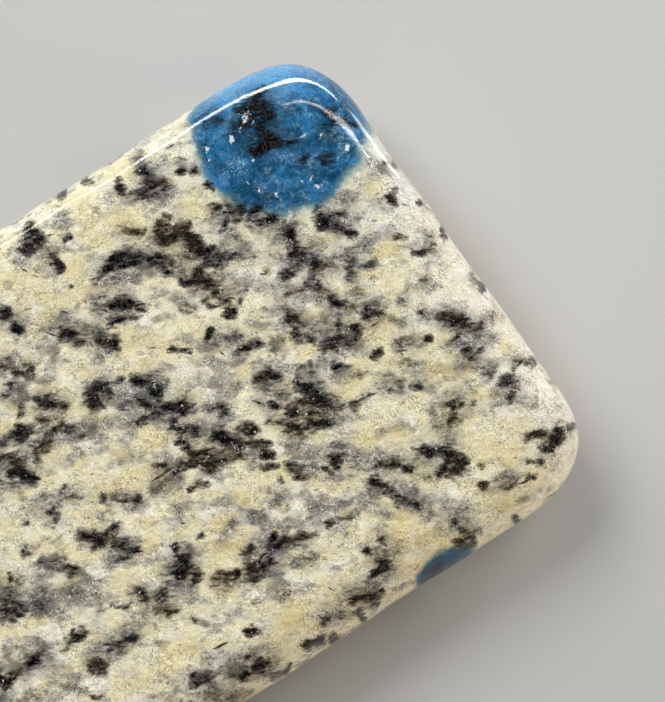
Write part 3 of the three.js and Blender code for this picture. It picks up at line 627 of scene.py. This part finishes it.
def stone_fields(points, areas):
    """The marks as numbers on each point: how far it is from each kind of them."""
    plan = seen_on_face(points)
    shown = shown_share(points, plan)
    unseen = OUT_OF_SIGHT * (1 - shown)
    hidden = areas * (shown < 0.5)
    rng = np.random.default_rng(7)
    straight_plan = drifted(plan, rng, 0.025)
    plan, points = drifted(plan, rng, 0.07), drifted(points, rng, 0.07)
    fields = {}
    for name, (strokes, softness, scatter) in KINDS.items():
        by_hand = flat_strokes(plan, [stroke for stroke in strokes if not is_needle(stroke)], softness) + unseen
        at_random = deep_strokes(points, hidden_strokes(points, hidden, rng, scatter), softness)
        fields[name] = np.minimum(np.minimum(by_hand, at_random), FAR)
    grains = [(x, y, size * 0.75, size * 0.55, 35) for x, y, size in WHITE_GRAINS_IN_AZURITE]
    fields["grain"] = np.minimum(flat_strokes(plan, grains, GRAIN_SOFTNESS) + unseen, FAR)
    needles = [stroke for stroke in BLACK_MICA + BROWN_MICA if is_needle(stroke)]
    fields["across"], fields["beyond"], distance = needle_fields(straight_plan, needles)
    fields["beside"] = distance + unseen
    return fields


# The mesh

def point_areas(points, quads, triangles):
    """The area that belongs to each point."""
    areas = np.zeros(len(points))
    for faces in (quads[:, :3], quads[:, [0, 2, 3]], triangles):
        a, b, c = (points[faces[:, n]] for n in range(3))
        area = np.linalg.norm(np.cross(b - a, c - a), axis=1) / 6
        for n in range(3):
            np.add.at(areas, faces[:, n], area)
    return areas


def make_tablet():
    """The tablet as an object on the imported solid's place, and the middle that it is centred on."""
    points, quads, triangles = tablet_surface()
    low, high = points.min(axis=0), points.max(axis=0)
    middle = np.array([(low[0] + high[0]) / 2, (low[1] + high[1]) / 2, 0.0])
    mesh = bpy.data.meshes.new("granite tablet")
    mesh.from_pydata(points.tolist(), [], quads.tolist() + triangles.tolist())
    normals = np.zeros(len(points) * 3)
    mesh.vertex_normals.foreach_get("vector", normals)
    fields = stone_fields(points, point_areas(points, quads, triangles))
    points = sink_pits(points, normals.reshape(-1, 3))
    mesh.vertices.foreach_set("co", ((points - middle) * MM).ravel())
    for name, values in fields.items():
        mesh.attributes.new(name, "FLOAT", "POINT").data.foreach_set("value", values.astype(np.float32))
    mesh.update()
    mesh.polygons.foreach_set("use_smooth", [True] * len(mesh.polygons))
    tablet = bpy.data.objects.new("polished_tablet", mesh)
    bpy.context.scene.collection.objects.link(tablet)
    return tablet, middle


# The stone's material

def srgb(red, green, blue):
    """A colour given by its 0 to 255 values, as the shader wants it."""
    def linear(value):
        value /= 255
        return value / 12.92 if value <= 0.04045 else ((value + 0.055) / 1.055) ** 2.4

    return linear(red), linear(green), linear(blue), 1.0


CREAM, PALE_CREAM = srgb(241, 230, 185), srgb(250, 243, 208)
# The last white is a painted highlight for the lit azurite end.
DULL_WHITE, WHITE, END_HIGHLIGHT_WHITE = srgb(222, 217, 199), srgb(252, 249, 231), srgb(228, 228, 218)
QUARTZ, GLASSY_QUARTZ = srgb(146, 141, 126), srgb(132, 130, 108)
OCHRE = srgb(236, 217, 148)
COOLER = (0.935, 0.985, 1.11, 1.0)  # what the rock's colour is multiplied by round the large azurite
DARKEST_BLUE, DEEP_BLUE = srgb(10, 40, 66), srgb(13, 69, 101)
BLUE, PALE_BLUE = srgb(45, 122, 177), srgb(98, 156, 184)
# The palest of these blues is a painted highlight on the large stain's lit rim.
PAINTED_HIGHLIGHT_BLUE, SMALL_ONES_BLUE, SCRATCH = srgb(106, 174, 224), srgb(4, 58, 92), srgb(170, 210, 228)
EDGE_BLUE, PALE_EDGE_BLUE = srgb(96, 146, 158), srgb(150, 182, 178)
GREY_SMOKE, BROWN_SMOKE, BLUE_SMOKE = srgb(104, 102, 94), srgb(108, 98, 78), srgb(24, 56, 74)
PALE_HAIR, DARK_HAIR, CRACK = srgb(255, 253, 244), srgb(70, 66, 54), srgb(52, 45, 33)
GREY_MICA, BROWN_EDGE, MICA_IN_AZURITE = srgb(92, 91, 88), srgb(94, 80, 58), srgb(24, 46, 54)
BLACK, DARK_BROWN = srgb(5, 5, 6), srgb(27, 21, 13)
MICA_SHEEN, MICA_HAIR = srgb(96, 92, 86), srgb(128, 126, 120)
# Silver and the white of the small sparks are painted glints; the last is the colour of real white grains.
SILVER, PAINTED_SPARKLE, WHITE_GRAIN = srgb(240, 240, 234), srgb(252, 250, 240), srgb(232, 246, 250)


class Stone:
    """Short names for the shader's nodes, and the places and noises that the layers of the stone share."""

    def __init__(self, tree, middle):
        self.tree = tree
        coordinates = self.add("ShaderNodeTexCoord").outputs["Object"]
        self.place = self.vector("ADD", self.vector("SCALE", coordinates, 1 / MM), tuple(middle))
        self.grain_place = self.drawn_out(1.5)
        self.broad = self.noise(self.grain_place, 0.35, 3.0, 0.55)
        self.medium = self.noise(self.warped(self.grain_place, 1.4, 0.5), 0.9, 5.0, 0.62)
        self.ragged = self.noise(self.warped(self.drawn_out(2.0), 2.2, 0.5), 1.9, 7.0, 0.75)
        self.fibres = self.noise(self.drawn_out(2.6, -26.0), 6.0, 4.0, 0.65, 0.4)
        self.fine = self.noise(self.place, 7.0, 4.0, 0.75)
        self.finest = self.noise(self.place, 14.0, 2.0, 0.7)

    def add(self, kind, **inputs):
        node = self.tree.nodes.new(kind)
        for name, value in inputs.items():
            self.plug(node.inputs[name.replace("_", " ")], value)
        return node

    def plug(self, socket, value):
        if isinstance(value, bpy.types.NodeSocket):
            self.tree.links.new(value, socket)
        else:
            socket.default_value = value

    def math(self, operation, a, b=0.0):
        node = self.tree.nodes.new("ShaderNodeMath")
        node.operation = operation
        self.plug(node.inputs[0], a)
        self.plug(node.inputs[1], b)
        return node.outputs[0]

    def sum(self, *values):
        total = values[0]
        for value in values[1:]:
            total = self.math("ADD", total, value)
        return total

    def times(self, a, b):
        return self.math("MULTIPLY", a, b)

    def most(self, *values):
        greatest = values[0]
        for value in values[1:]:
            greatest = self.math("MAXIMUM", greatest, value)
        return greatest

    def swing(self, noise, reach):
        """A noise as an offset to both sides of zero."""
        return self.times(self.math("SUBTRACT", noise, 0.5), reach)

    def vector(self, operation, a, b):
        node = self.tree.nodes.new("ShaderNodeVectorMath")
        node.operation = operation
        self.plug(node.inputs[0], a)
        self.plug(node.inputs["Scale"] if operation == "SCALE" else node.inputs[1], b)
        return node.outputs["Value"] if operation == "DISTANCE" else node.outputs[0]

    def fit(self, value, low, high, to_low=0.0, to_high=1.0, smooth=True):
        """The value's place between low and high, carried over to between to_low and to_high."""
        node = self.tree.nodes.new("ShaderNodeMapRange")
        node.interpolation_type = "SMOOTHSTEP" if smooth else "LINEAR"
        names = ("Value", "From Min", "From Max", "To Min", "To Max")
        for name, number in zip(names, (value, low, high, to_low, to_high)):
            self.plug(node.inputs[name], number)
        return node.outputs[0]

    def noise_node(self, where, scale, detail=2.0, roughness=0.5, distortion=0.0):
        node = self.add("ShaderNodeTexNoise", Vector=where, Scale=scale, Detail=detail, Roughness=roughness)
        node.inputs["Distortion"].default_value = distortion
        return node

    def noise(self, *settings):
        return self.noise_node(*settings).outputs["Fac"]

    def warped(self, where, scale, reach):
        """The place moved about by noise, by up to about half of reach."""
        centred = self.vector("SUBTRACT", self.noise_node(where, scale).outputs["Color"], (0.5, 0.5, 0.5))
        return self.vector("ADD", where, self.vector("SCALE", centred, reach))

    def drawn_out(self, stretch, turn=FOLIATION):
        """The place in a frame that is squeezed along the rock's grain, so that noise in it is drawn out."""
        node = self.tree.nodes.new("ShaderNodeMapping")
        node.vector_type = "TEXTURE"
        node.inputs["Rotation"].default_value = (0.0, 0.0, math.radians(turn))
        node.inputs["Scale"].default_value = (stretch, 1.0, 1.0)
        self.plug(node.inputs["Vector"], self.place)
        return node.outputs[0]

    def cells(self, where, scale, feature="F1"):
        node = self.tree.nodes.new("ShaderNodeTexVoronoi")
        node.feature = feature
        self.plug(node.inputs["Vector"], where)
        node.inputs["Scale"].default_value = scale
        if feature == "SMOOTH_F1":
            node.inputs["Smoothness"].default_value = 0.5
        return node

    def ridges(self, where, scale, width):
        """Thin squiggly lines: where a fine noise crosses its middle."""
        away = self.math("ABSOLUTE", self.math("SUBTRACT", self.noise(where, scale, 4.0, 0.6), 0.5))
        return self.fit(away, width, 0.0)

    def field(self, name):
        """A number that the mesh holds at its points."""
        node = self.tree.nodes.new("ShaderNodeAttribute")
        node.attribute_name = name
        return node.outputs["Fac"]

    def mix(self, share, a, b, blend="MIX"):
        node = self.tree.nodes.new("ShaderNodeMix")
        node.data_type = "RGBA"
        node.blend_type = blend
        node.clamp_factor = True
        self.plug(node.inputs["Factor"], share)
        self.plug(node.inputs[6], a)  # 6 and 7 are the sockets of the two colours, 2 that of their mix
        self.plug(node.inputs[7], b)
        return node.outputs[2]

    def shade(self, colour, value):
        """The colour multiplied by a value."""
        grey = self.tree.nodes.new("ShaderNodeCombineColor")
        for socket in grey.inputs:
            self.plug(socket, value)
        return self.mix(1.0, colour, grey.outputs[0], "MULTIPLY")

    def split(self, colour):
        """The outputs Red, Green and Blue of a colour."""
        node = self.tree.nodes.new("ShaderNodeSeparateColor")
        self.plug(node.inputs[0], colour)
        return node.outputs

    def brightness(self, colour):
        node = self.tree.nodes.new("ShaderNodeRGBToBW")
        self.plug(node.inputs[0], colour)
        return node.outputs[0]


def feldspar_and_quartz(g):
    """Cream and white feldspar grains with translucent grey quartz between them."""
    grains = g.split(g.cells(g.warped(g.grain_place, 2.4, 0.5), 1.5, "SMOOTH_F1").outputs["Color"])
    cream = g.mix(g.fit(grains["Green"], 0.2, 0.8), CREAM, PALE_CREAM)
    white = g.mix(g.fit(grains["Red"], 0.2, 0.8), DULL_WHITE, WHITE)
    rock = g.mix(g.fit(g.sum(g.medium, g.broad, g.times(grains["Blue"], 0.35)), 0.97, 1.27), white, cream)
    quartz = g.fit(g.sum(g.medium, g.times(grains["Red"], 0.22), g.times(g.broad, 0.5)), 0.86, 0.68)
    rock = g.mix(g.times(quartz, 0.85), rock, QUARTZ)
    small_grains = g.cells(g.warped(g.grain_place, 5.0, 0.25), 3.6)
    edges = g.fit(small_grains.outputs["Distance"], 0.15, 0.7, 1.03, 0.94)
    clouds = g.fit(g.noise(g.grain_place, 1.5, 4.0, 0.6), 0.3, 0.7, 0.9, 1.08, False)
    rock = g.shade(rock, g.times(edges, clouds))
    cells = g.cells(g.warped(g.grain_place, 4.0, 0.35), 2.0)
    few = g.math("GREATER_THAN", g.split(cells.outputs["Color"])["Red"], 0.92)
    glassy = g.times(g.fit(cells.outputs["Distance"], 0.44, 0.28), few)
    return g.mix(g.times(glassy, 0.5), rock, GLASSY_QUARTZ)


def tinted(g, rock):
    """The rock with a painted highlight whitening it towards the lit azurite end, ochre in its stains and
    cooler round the large azurite.
    """
    along = g.tree.nodes.new("ShaderNodeSeparateXYZ")
    g.plug(along.inputs[0], g.place)
    # painted highlight: the rock is whitened towards the azurite end, where the rim is lit brightest
    painted_end_highlight = g.times(g.fit(along.outputs["X"], 18.2, 20.4), g.fit(g.medium, 0.35, 0.55, 0.2, 0.75))
    rock = g.mix(painted_end_highlight, rock, END_HIGHLIGHT_WHITE)
    ochre = g.fit(g.sum(g.field("ochre"), g.times(g.medium, 1.6)), 1.6, 0.0)
    rock = g.mix(g.times(ochre, 0.6), rock, OCHRE)
    centre, radius = AZURITE[0]
    off_disc = g.math("SUBTRACT", g.vector("DISTANCE", g.place, centre), radius)
    return g.mix(g.fit(off_disc, 4.5, 1.0, 0.0, 0.9), rock, g.mix(1.0, rock, COOLER, "MULTIPLY"))


def azurite(g):
    """The blue stain's colour, with a painted highlight by its lit rim, and how much of it there is at each
    place.
    """
    depths = [g.math("SUBTRACT", radius, g.vector("DISTANCE", g.place, centre)) for centre, radius in AZURITE]
    depth = g.sum(g.most(*depths), g.swing(g.noise(g.place, 0.8, 5.0, 0.62), 1.0), g.swing(g.fine, 0.4))
    mottle = g.noise(g.warped(g.place, 1.5, 0.6), 0.8, 5.0, 0.62)
    blue = g.mix(g.fit(mottle, 0.34, 0.66), DEEP_BLUE, BLUE)
    clouds = g.noise(g.warped(g.place, 3.0, 0.3), 2.6, 5.0, 0.7)
    blue = g.mix(g.fit(clouds, 0.5, 0.72, 0.0, 0.7), blue, PALE_BLUE)
    blue = g.mix(g.fit(clouds, 0.46, 0.3, 0.0, 0.8), blue, DARKEST_BLUE)
    # painted highlight: the large stain is paled towards its upper rim, where the light falls brightest
    painted_rim_highlight = g.fit(g.vector("DISTANCE", g.place, AZURITE_PAINTED_HIGHLIGHT_CENTRE), 4.2, 1.4, 0.0, 0.75)
    blue = g.mix(painted_rim_highlight, blue, PAINTED_HIGHLIGHT_BLUE)
    blue = g.shade(blue, g.fit(g.sum(g.fine, g.finest), 0.7, 1.3, 0.82, 1.18, False))
    small_one = g.fit(g.vector("DISTANCE", g.place, AZURITE[1][0]), 3.0, 2.2)
    blue = g.mix(g.times(small_one, 0.85), blue, SMALL_ONES_BLUE)
    scratched = g.fit(g.noise(g.place, 0.9), 0.45, 0.65)
    blue = g.mix(g.times(g.times(g.ridges(g.place, 1.7, 0.016), scratched), 0.7), blue, SCRATCH)
    pale = g.mix(g.fit(g.medium, 0.4, 0.65), EDGE_BLUE, PALE_EDGE_BLUE)
    blue = g.mix(g.fit(depth, 0.55, 0.0), blue, pale)
    return blue, g.fit(depth, -0.12, 0.3)


def sugar_and_hairs(g, rock, shadow, blueness):
    """The fine grain of the polished rock, its small cells and hairs, and a few beaded cracks."""
    grey = g.most(shadow, g.fit(g.brightness(rock), 0.6, 0.3))
    rough = g.fit(g.noise(g.place, 1.1, 3.0, 0.6), 0.38, 0.62, 0.55, 1.0)
    rough = g.times(g.times(rough, g.fit(blueness, 0.0, 1.0, 1.0, 0.55)), g.sum(g.times(grey, 0.8), 1.0))
    sugar = g.sum(g.times(g.fine, 0.4), g.times(g.finest, 0.4), g.times(g.fibres, 0.2))
    rock = g.shade(rock, g.sum(g.times(g.fit(sugar, 0.3, 0.7, -0.6, 0.6, False), rough), 1.0))
    for scale, warp, depth in ((3.6, 5.0, 0.08), (8.0, 9.0, 0.06)):
        cells = g.cells(g.warped(g.grain_place, warp, 1.2 / warp), scale)
        tone = g.fit(g.split(cells.outputs["Color"])["Red"], 0.0, 1.0, -depth, depth, False)
        rock = g.shade(rock, g.sum(g.times(tone, rough), 1.0))
    for where, scale, width, patches, colour in (
        (g.warped(g.place, 2.0, 0.5), 2.4, 0.02, 0.9, PALE_HAIR),
        (g.warped(g.place, 3.0, 0.5), 4.4, 0.03, 1.3, PALE_HAIR),
        (g.warped(g.grain_place, 2.6, 0.4), 2.9, 0.02, 1.1, DARK_HAIR),
        (g.warped(g.place, 3.4, 0.4), 4.9, 0.03, 1.5, DARK_HAIR),
    ):
        there = g.fit(g.noise(g.place, patches, 3.0, 0.6), 0.46, 0.6, 0.1, 0.85)
        hairs = g.times(g.ridges(where, scale, width), g.times(there, g.fit(blueness, 0.0, 1.0, 1.0, 0.15)))
        rock = g.mix(g.times(hairs, rough), rock, colour)
    beads = g.times(g.fit(g.fine, 0.46, 0.58), g.fit(g.noise(g.place, 0.8), 0.45, 0.6))
    cracks = g.times(g.ridges(g.warped(g.drawn_out(1.8), 1.5, 0.5), 0.5, 0.009), beads)
    return g.mix(g.times(cracks, 0.8), rock, CRACK)


def needles(g):
    """How dense the thin needles of mica are."""
    ends = g.most(g.field("beyond"), 0.0)
    distance = g.math("SQRT", g.sum(g.math("POWER", g.field("across"), 2.0), g.math("POWER", ends, 2.0)))
    unevenness = g.sum(g.swing(g.ragged, 0.2), g.swing(g.fine, 0.12))
    tapered = g.sum(distance, unevenness, g.fit(g.field("beyond"), -0.4, 0.0, 0.0, 0.05))
    return g.times(g.fit(tapered, 0.13, 0.02, 0.0, 0.9), g.fit(g.field("beside"), 0.26, 0.2))


def mica_density(g, shadow, brownness):
    """How dense the mica is: in the listed strokes, in scattered specks, as a core of the shadows and as
    needles.
    """
    mica = g.fit(g.field("mica"), 3.1, -1.2)
    specks = g.fit(g.noise(g.drawn_out(2.6), 2.4, 3.0, 0.62, 0.3), 0.65, 0.8, 0.0, 0.6)
    density = g.most(mica, g.times(brownness, 0.8), specks, g.times(shadow, 0.4), needles(g))
    tatter = g.sum(g.swing(g.ragged, 3.0), g.swing(g.fibres, 1.2), g.swing(g.fine, 1.0))
    return g.sum(density, g.times(tatter, g.fit(density, 0.0, 0.25)))


def with_mica(g, rock, density, brownish, blueness):
    """The rock with its mica, from a grey veil where it is thin to black where it is dense."""
    thin = g.mix(blueness, g.mix(brownish, GREY_MICA, BROWN_EDGE), MICA_IN_AZURITE)
    rock = g.mix(g.fit(density, 0.14, 0.62, 0.0, 0.82), rock, thin)
    dark = g.mix(brownish, BLACK, DARK_BROWN)
    # painted sheen: paler grey flecks of reflected light on the black mica
    dark = g.mix(g.fit(g.sum(g.fine, g.finest), 1.02, 1.4, 0.0, 0.3), dark, MICA_SHEEN)
    dark = g.mix(g.fit(g.noise(g.warped(g.place, 3.0, 0.3), 2.8, 4.0, 0.7), 0.54, 0.74, 0.0, 0.22), dark, thin)
    dark = g.mix(g.times(g.ridges(g.warped(g.place, 3.0, 0.3), 3.0, 0.022), 0.3), dark, MICA_HAIR)
    return g.mix(g.fit(density, 0.44, 0.98), rock, dark)


def bright_specks(g, rock, density, blueness):
    """Painted glints: silver ones on the mica and small sparkles in the rock; and the real white grains in the
    azurite.
    """
    # painted glints: silver lines on the mica
    glint = g.fit(g.sum(g.field("glint"), g.swing(g.fine, 4.0)), 0.6, -0.6)
    rock = g.mix(g.times(glint, g.times(g.ridges(g.place, 3.4, 0.035), 0.9)), rock, SILVER)
    # painted highlights: tiny white sparkles that stand in for glints of light off the grains
    for size, share in ((2.6, 0.64), (5.2, 0.62)):
        cells = g.cells(g.warped(g.place, 11.0, 0.11), size)
        chosen = g.sum(g.noise(cells.outputs["Position"], 3.1), g.fit(density, 0.3, 0.8, 0.0, 0.06))
        painted_sparkle = g.times(g.fit(cells.outputs["Distance"], 0.17, 0.06), g.math("GREATER_THAN", chosen, share))
        rock = g.mix(g.times(painted_sparkle, g.fit(blueness, 0.0, 1.0, 0.85, 0.15)), rock, PAINTED_SPARKLE)
    grains = g.fit(g.sum(g.field("grain"), g.swing(g.fine, 5.0)), 0.5, -0.1)
    return g.mix(g.times(grains, 0.9), rock, WHITE_GRAIN)


def stone_material(middle):
    material = bpy.data.materials.new("granite with azurite")
    material.use_nodes = True
    tree = material.node_tree
    tree.nodes.clear()
    g = Stone(tree, middle)
    blue, blueness = azurite(g)
    rock = g.mix(blueness, tinted(g, feldspar_and_quartz(g)), blue)

    # smoky shadows of mica that lies under the surface
    brownness = g.fit(g.field("brown"), 1.3, -1.0)
    brownish = g.times(g.most(brownness, g.fit(g.broad, 0.5, 0.66)), g.fit(blueness, 0.0, 1.0, 1.0, 0.3))
    shadow = g.fit(g.sum(g.field("shadow"), g.swing(g.medium, 2.0), g.swing(g.ragged, 1.2)), 1.5, -0.8)
    smoke = g.mix(blueness, g.mix(brownish, GREY_SMOKE, BROWN_SMOKE), BLUE_SMOKE)
    rock = g.mix(g.times(shadow, 0.6), rock, smoke)

    rock = sugar_and_hairs(g, rock, shadow, blueness)
    density = mica_density(g, shadow, brownness)
    rock = with_mica(g, rock, density, brownish, blueness)
    rock = bright_specks(g, rock, density, blueness)

    height = g.sum(g.times(g.fine, 0.5), g.times(density, -0.4))
    bump = g.add("ShaderNodeBump", Strength=0.12, Distance=0.00003, Height=height)
    shader = g.add("ShaderNodeBsdfPrincipled", Base_Color=rock, Normal=bump.outputs[0])
    g.plug(shader.inputs["Roughness"], g.fit(g.fine, 0.3, 0.8, 0.03, 0.09, False))
    shader.inputs["IOR"].default_value = 1.54
    output = tree.nodes.new("ShaderNodeOutputMaterial")
    tree.links.new(shader.outputs[0], output.inputs["Surface"])
    return material


# The studio. The polish mirrors only its ribbons: the lamps and the world light the stone, unseen in it.

STONE = (6, 0, 3)  # what most lamps are aimed at
LAMPS = {  # place, aim, size, power, colour
    "key": ((-100, 430, 430), STONE, (380, 260), 2.1, (1.0, 0.98, 0.95)),
    "back": ((-40, 460, 130), STONE, (380, 160), 0.95, (1, 1, 1)),
    "fill": ((440, 120, 300), STONE, (260, 260), 0.85, (1, 1, 1)),
    "front": ((-260, -380, 420), STONE, (260, 260), 0.25, (1, 1, 1)),
    "warm": ((300, -400, 90), STONE, (260, 100), 0.85, (1.0, 0.72, 0.38)),
    "side panel": ((430, 20, 90), (21, 0, 5), (330, 150), 0.6, (1, 1, 1)),
}
SKY_COLOUR, SKY_STRENGTH = (0.9, 0.95, 1.0, 1), 0.17
FLOOR_COLOUR, FLOOR_REACH = (0.62, 0.62, 0.61, 1), 3.0

# The ribbons that make the lines along the rim: a place on the stone, the azimuth and elevation in degrees at
# which the ribbon lies from it, and the ribbon's width there
EDGE_DISTANCE, EDGE_STRENGTH = 400.0, 22.0
EDGE_LIGHT = [
    ((-20, 12.5, 6), 97, 14, 8),
    ((2.2, 12.5, 6), 94, 13.6, 9),
    ((9.2, 12.5, 6), 89, 13, 11),
    ((12.9, 12.5, 6), 87, 14, 15),
    ((16.3, 12.3, 6), 81.7, 20.6, 22),
    ((17.4, 12.2, 6.2), 75.9, 25.0, 34),
    ((18.4, 12.0, 6.2), 65.6, 24.7, 44),
    ((19.0, 11.9, 6.1), 57.8, 20.0, 50),
    ((19.5, 11.7, 6.0), 51.2, 14.5, 50),
    ((20.0, 11.4, 5.9), 42.4, 8.0, 40),
    ((20.4, 10.9, 5.8), 35.0, 3.5, 26),
    ((20.6, 10.4, 5.8), 28.0, 2.5, 18),
    ((20.7, 9.7, 5.8), 20.5, 2.8, 9),
]
CORNER_DISTANCE, CORNER_STRENGTH = 60.0, 45.0
CORNER_LIGHT = [
    ((18.1, 10.7, 6.5), 59.8, 59.2, 0.2),
    ((18.5, 10.6, 6.4), 53.9, 55.7, 0.35),
    ((18.9, 10.5, 6.4), 47.9, 50.7, 0.45),
    ((19.4, 10.0, 6.4), 37, 44.8, 0.5),
    ((19.8, 9.5, 6.3), 27.4, 38.9, 0.55),
    ((20.0, 9.0, 6.2), 21.4, 35.6, 0.65),
    ((20.1, 8.5, 6.2), 17.6, 30.1, 0.75),
    ((20.3, 7.8, 6.1), 15.8, 24.3, 0.85),
    ((20.4, 7.0, 6.0), 14.1, 17.3, 0.7),
]
FLOOR_GLOW = [((62, 19, 0.5), 3.2), ((40, 12, 0.5), 2.6), ((33, 8, 0.5), 2)]
FLOOR_GLOW_STRENGTH = 7.0
RIBBONS_FACE = Vector((15, 6, 6))  # the place that the ribbons are turned to


def add_lamp(name, at, aim, size, power, colour):
    """An area light that lies with its long side level."""
    data = bpy.data.lights.new(name, "AREA")
    data.shape = "RECTANGLE"
    data.size, data.size_y = size[0] * MM, size[1] * MM
    data.energy = power
    data.color = colour
    lamp = bpy.data.objects.new(name, data)
    lamp.visible_glossy = False
    lamp.location = Vector(at) * MM
    lamp.rotation_euler = (Vector(aim) - Vector(at)).to_track_quat("-Z", "Y").to_euler()
    bpy.context.scene.collection.objects.link(lamp)


def add_floor():
    mesh = bpy.data.meshes.new("floor")
    corners = [(x * FLOOR_REACH, y * FLOOR_REACH, 0) for x, y in ((-1, -1), (1, -1), (1, 1), (-1, 1))]
    mesh.from_pydata(corners, [], [(0, 1, 2, 3)])
    floor = bpy.data.objects.new("floor", mesh)
    material = bpy.data.materials.new("floor")
    material.use_nodes = True
    shader = material.node_tree.nodes["Principled BSDF"]
    shader.inputs["Base Color"].default_value = FLOOR_COLOUR
    shader.inputs["Roughness"].default_value = 0.8
    shader.inputs["Specular IOR Level"].default_value = 0.0
    mesh.materials.append(material)
    bpy.context.scene.collection.objects.link(floor)


def ribbon_path(rows, distance):
    """A ribbon's points with its width at each, from rows of place, azimuth, elevation and width."""
    path = []
    for place, azimuth, elevation, width in rows:
        turn, rise = math.radians(azimuth), math.radians(elevation)
        level = distance * math.cos(rise)
        offset = Vector((level * math.cos(turn), level * math.sin(turn), distance * math.sin(rise)))
        path.append((Vector(place) + offset, width))
    return path


def add_ribbon(name, path, strength):
    """A glowing ribbon that is seen in the polish only."""
    points = [Vector(at) for at, _ in path]
    vertices = []
    for k, point in enumerate(points):
        run = points[min(k + 1, len(points) - 1)] - points[max(k - 1, 0)]
        side = run.cross(RIBBONS_FACE - point).normalized() * path[k][1] / 2
        vertices += [(point - side) * MM, (point + side) * MM]
    faces = [(2 * k, 2 * k + 1, 2 * k + 3, 2 * k + 2) for k in range(len(points) - 1)]
    mesh = bpy.data.meshes.new(name)
    mesh.from_pydata(vertices, [], faces)
    material = bpy.data.materials.new(name)
    material.use_nodes = True
    tree = material.node_tree
    tree.nodes.clear()
    glow = tree.nodes.new("ShaderNodeEmission")
    glow.inputs["Strength"].default_value = strength
    output = tree.nodes.new("ShaderNodeOutputMaterial")
    tree.links.new(glow.outputs[0], output.inputs["Surface"])
    mesh.materials.append(material)
    ribbon = bpy.data.objects.new(name, mesh)
    ribbon.visible_camera = False
    ribbon.visible_diffuse = False
    ribbon.visible_shadow = False
    bpy.context.scene.collection.objects.link(ribbon)


def add_studio():
    world = bpy.data.worlds.new("studio")
    world.use_nodes = True
    background = world.node_tree.nodes["Background"]
    background.inputs["Color"].default_value = SKY_COLOUR
    background.inputs["Strength"].default_value = SKY_STRENGTH
    world.cycles_visibility.glossy = False
    scene = bpy.context.scene
    scene.world = world
    scene.view_settings.view_transform = "Standard"
    for name, settings in LAMPS.items():
        add_lamp(name, *settings)
    add_ribbon("edge light", ribbon_path(EDGE_LIGHT, EDGE_DISTANCE), EDGE_STRENGTH)
    add_ribbon("floor glow", FLOOR_GLOW, FLOOR_GLOW_STRENGTH)
    add_ribbon("corner light", ribbon_path(CORNER_LIGHT, CORNER_DISTANCE), CORNER_STRENGTH)


def add_camera(middle):
    data = bpy.data.cameras.new("camera")
    data.lens = CAMERA_LENS
    data.sensor_width = SENSOR
    data.sensor_fit = "AUTO"
    data.clip_start, data.clip_end = 0.005, 20
    camera = bpy.data.objects.new("camera", data)
    back = CAMERA_RIGHT.cross(CAMERA_UP).normalized()
    up = back.cross(CAMERA_RIGHT).normalized()
    turned = Matrix((CAMERA_RIGHT.normalized(), up, back)).transposed().to_4x4()
    camera.matrix_world = Matrix.Translation(Vector(CAMERA_AT - middle) * MM) @ turned
    bpy.context.scene.collection.objects.link(camera)
    bpy.context.scene.camera = camera


tablet, middle = make_tablet()
tablet.data.materials.append(stone_material(middle))
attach(tablet, "root")
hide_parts("granite_tablet")
add_floor()
add_studio()
add_camera(middle)
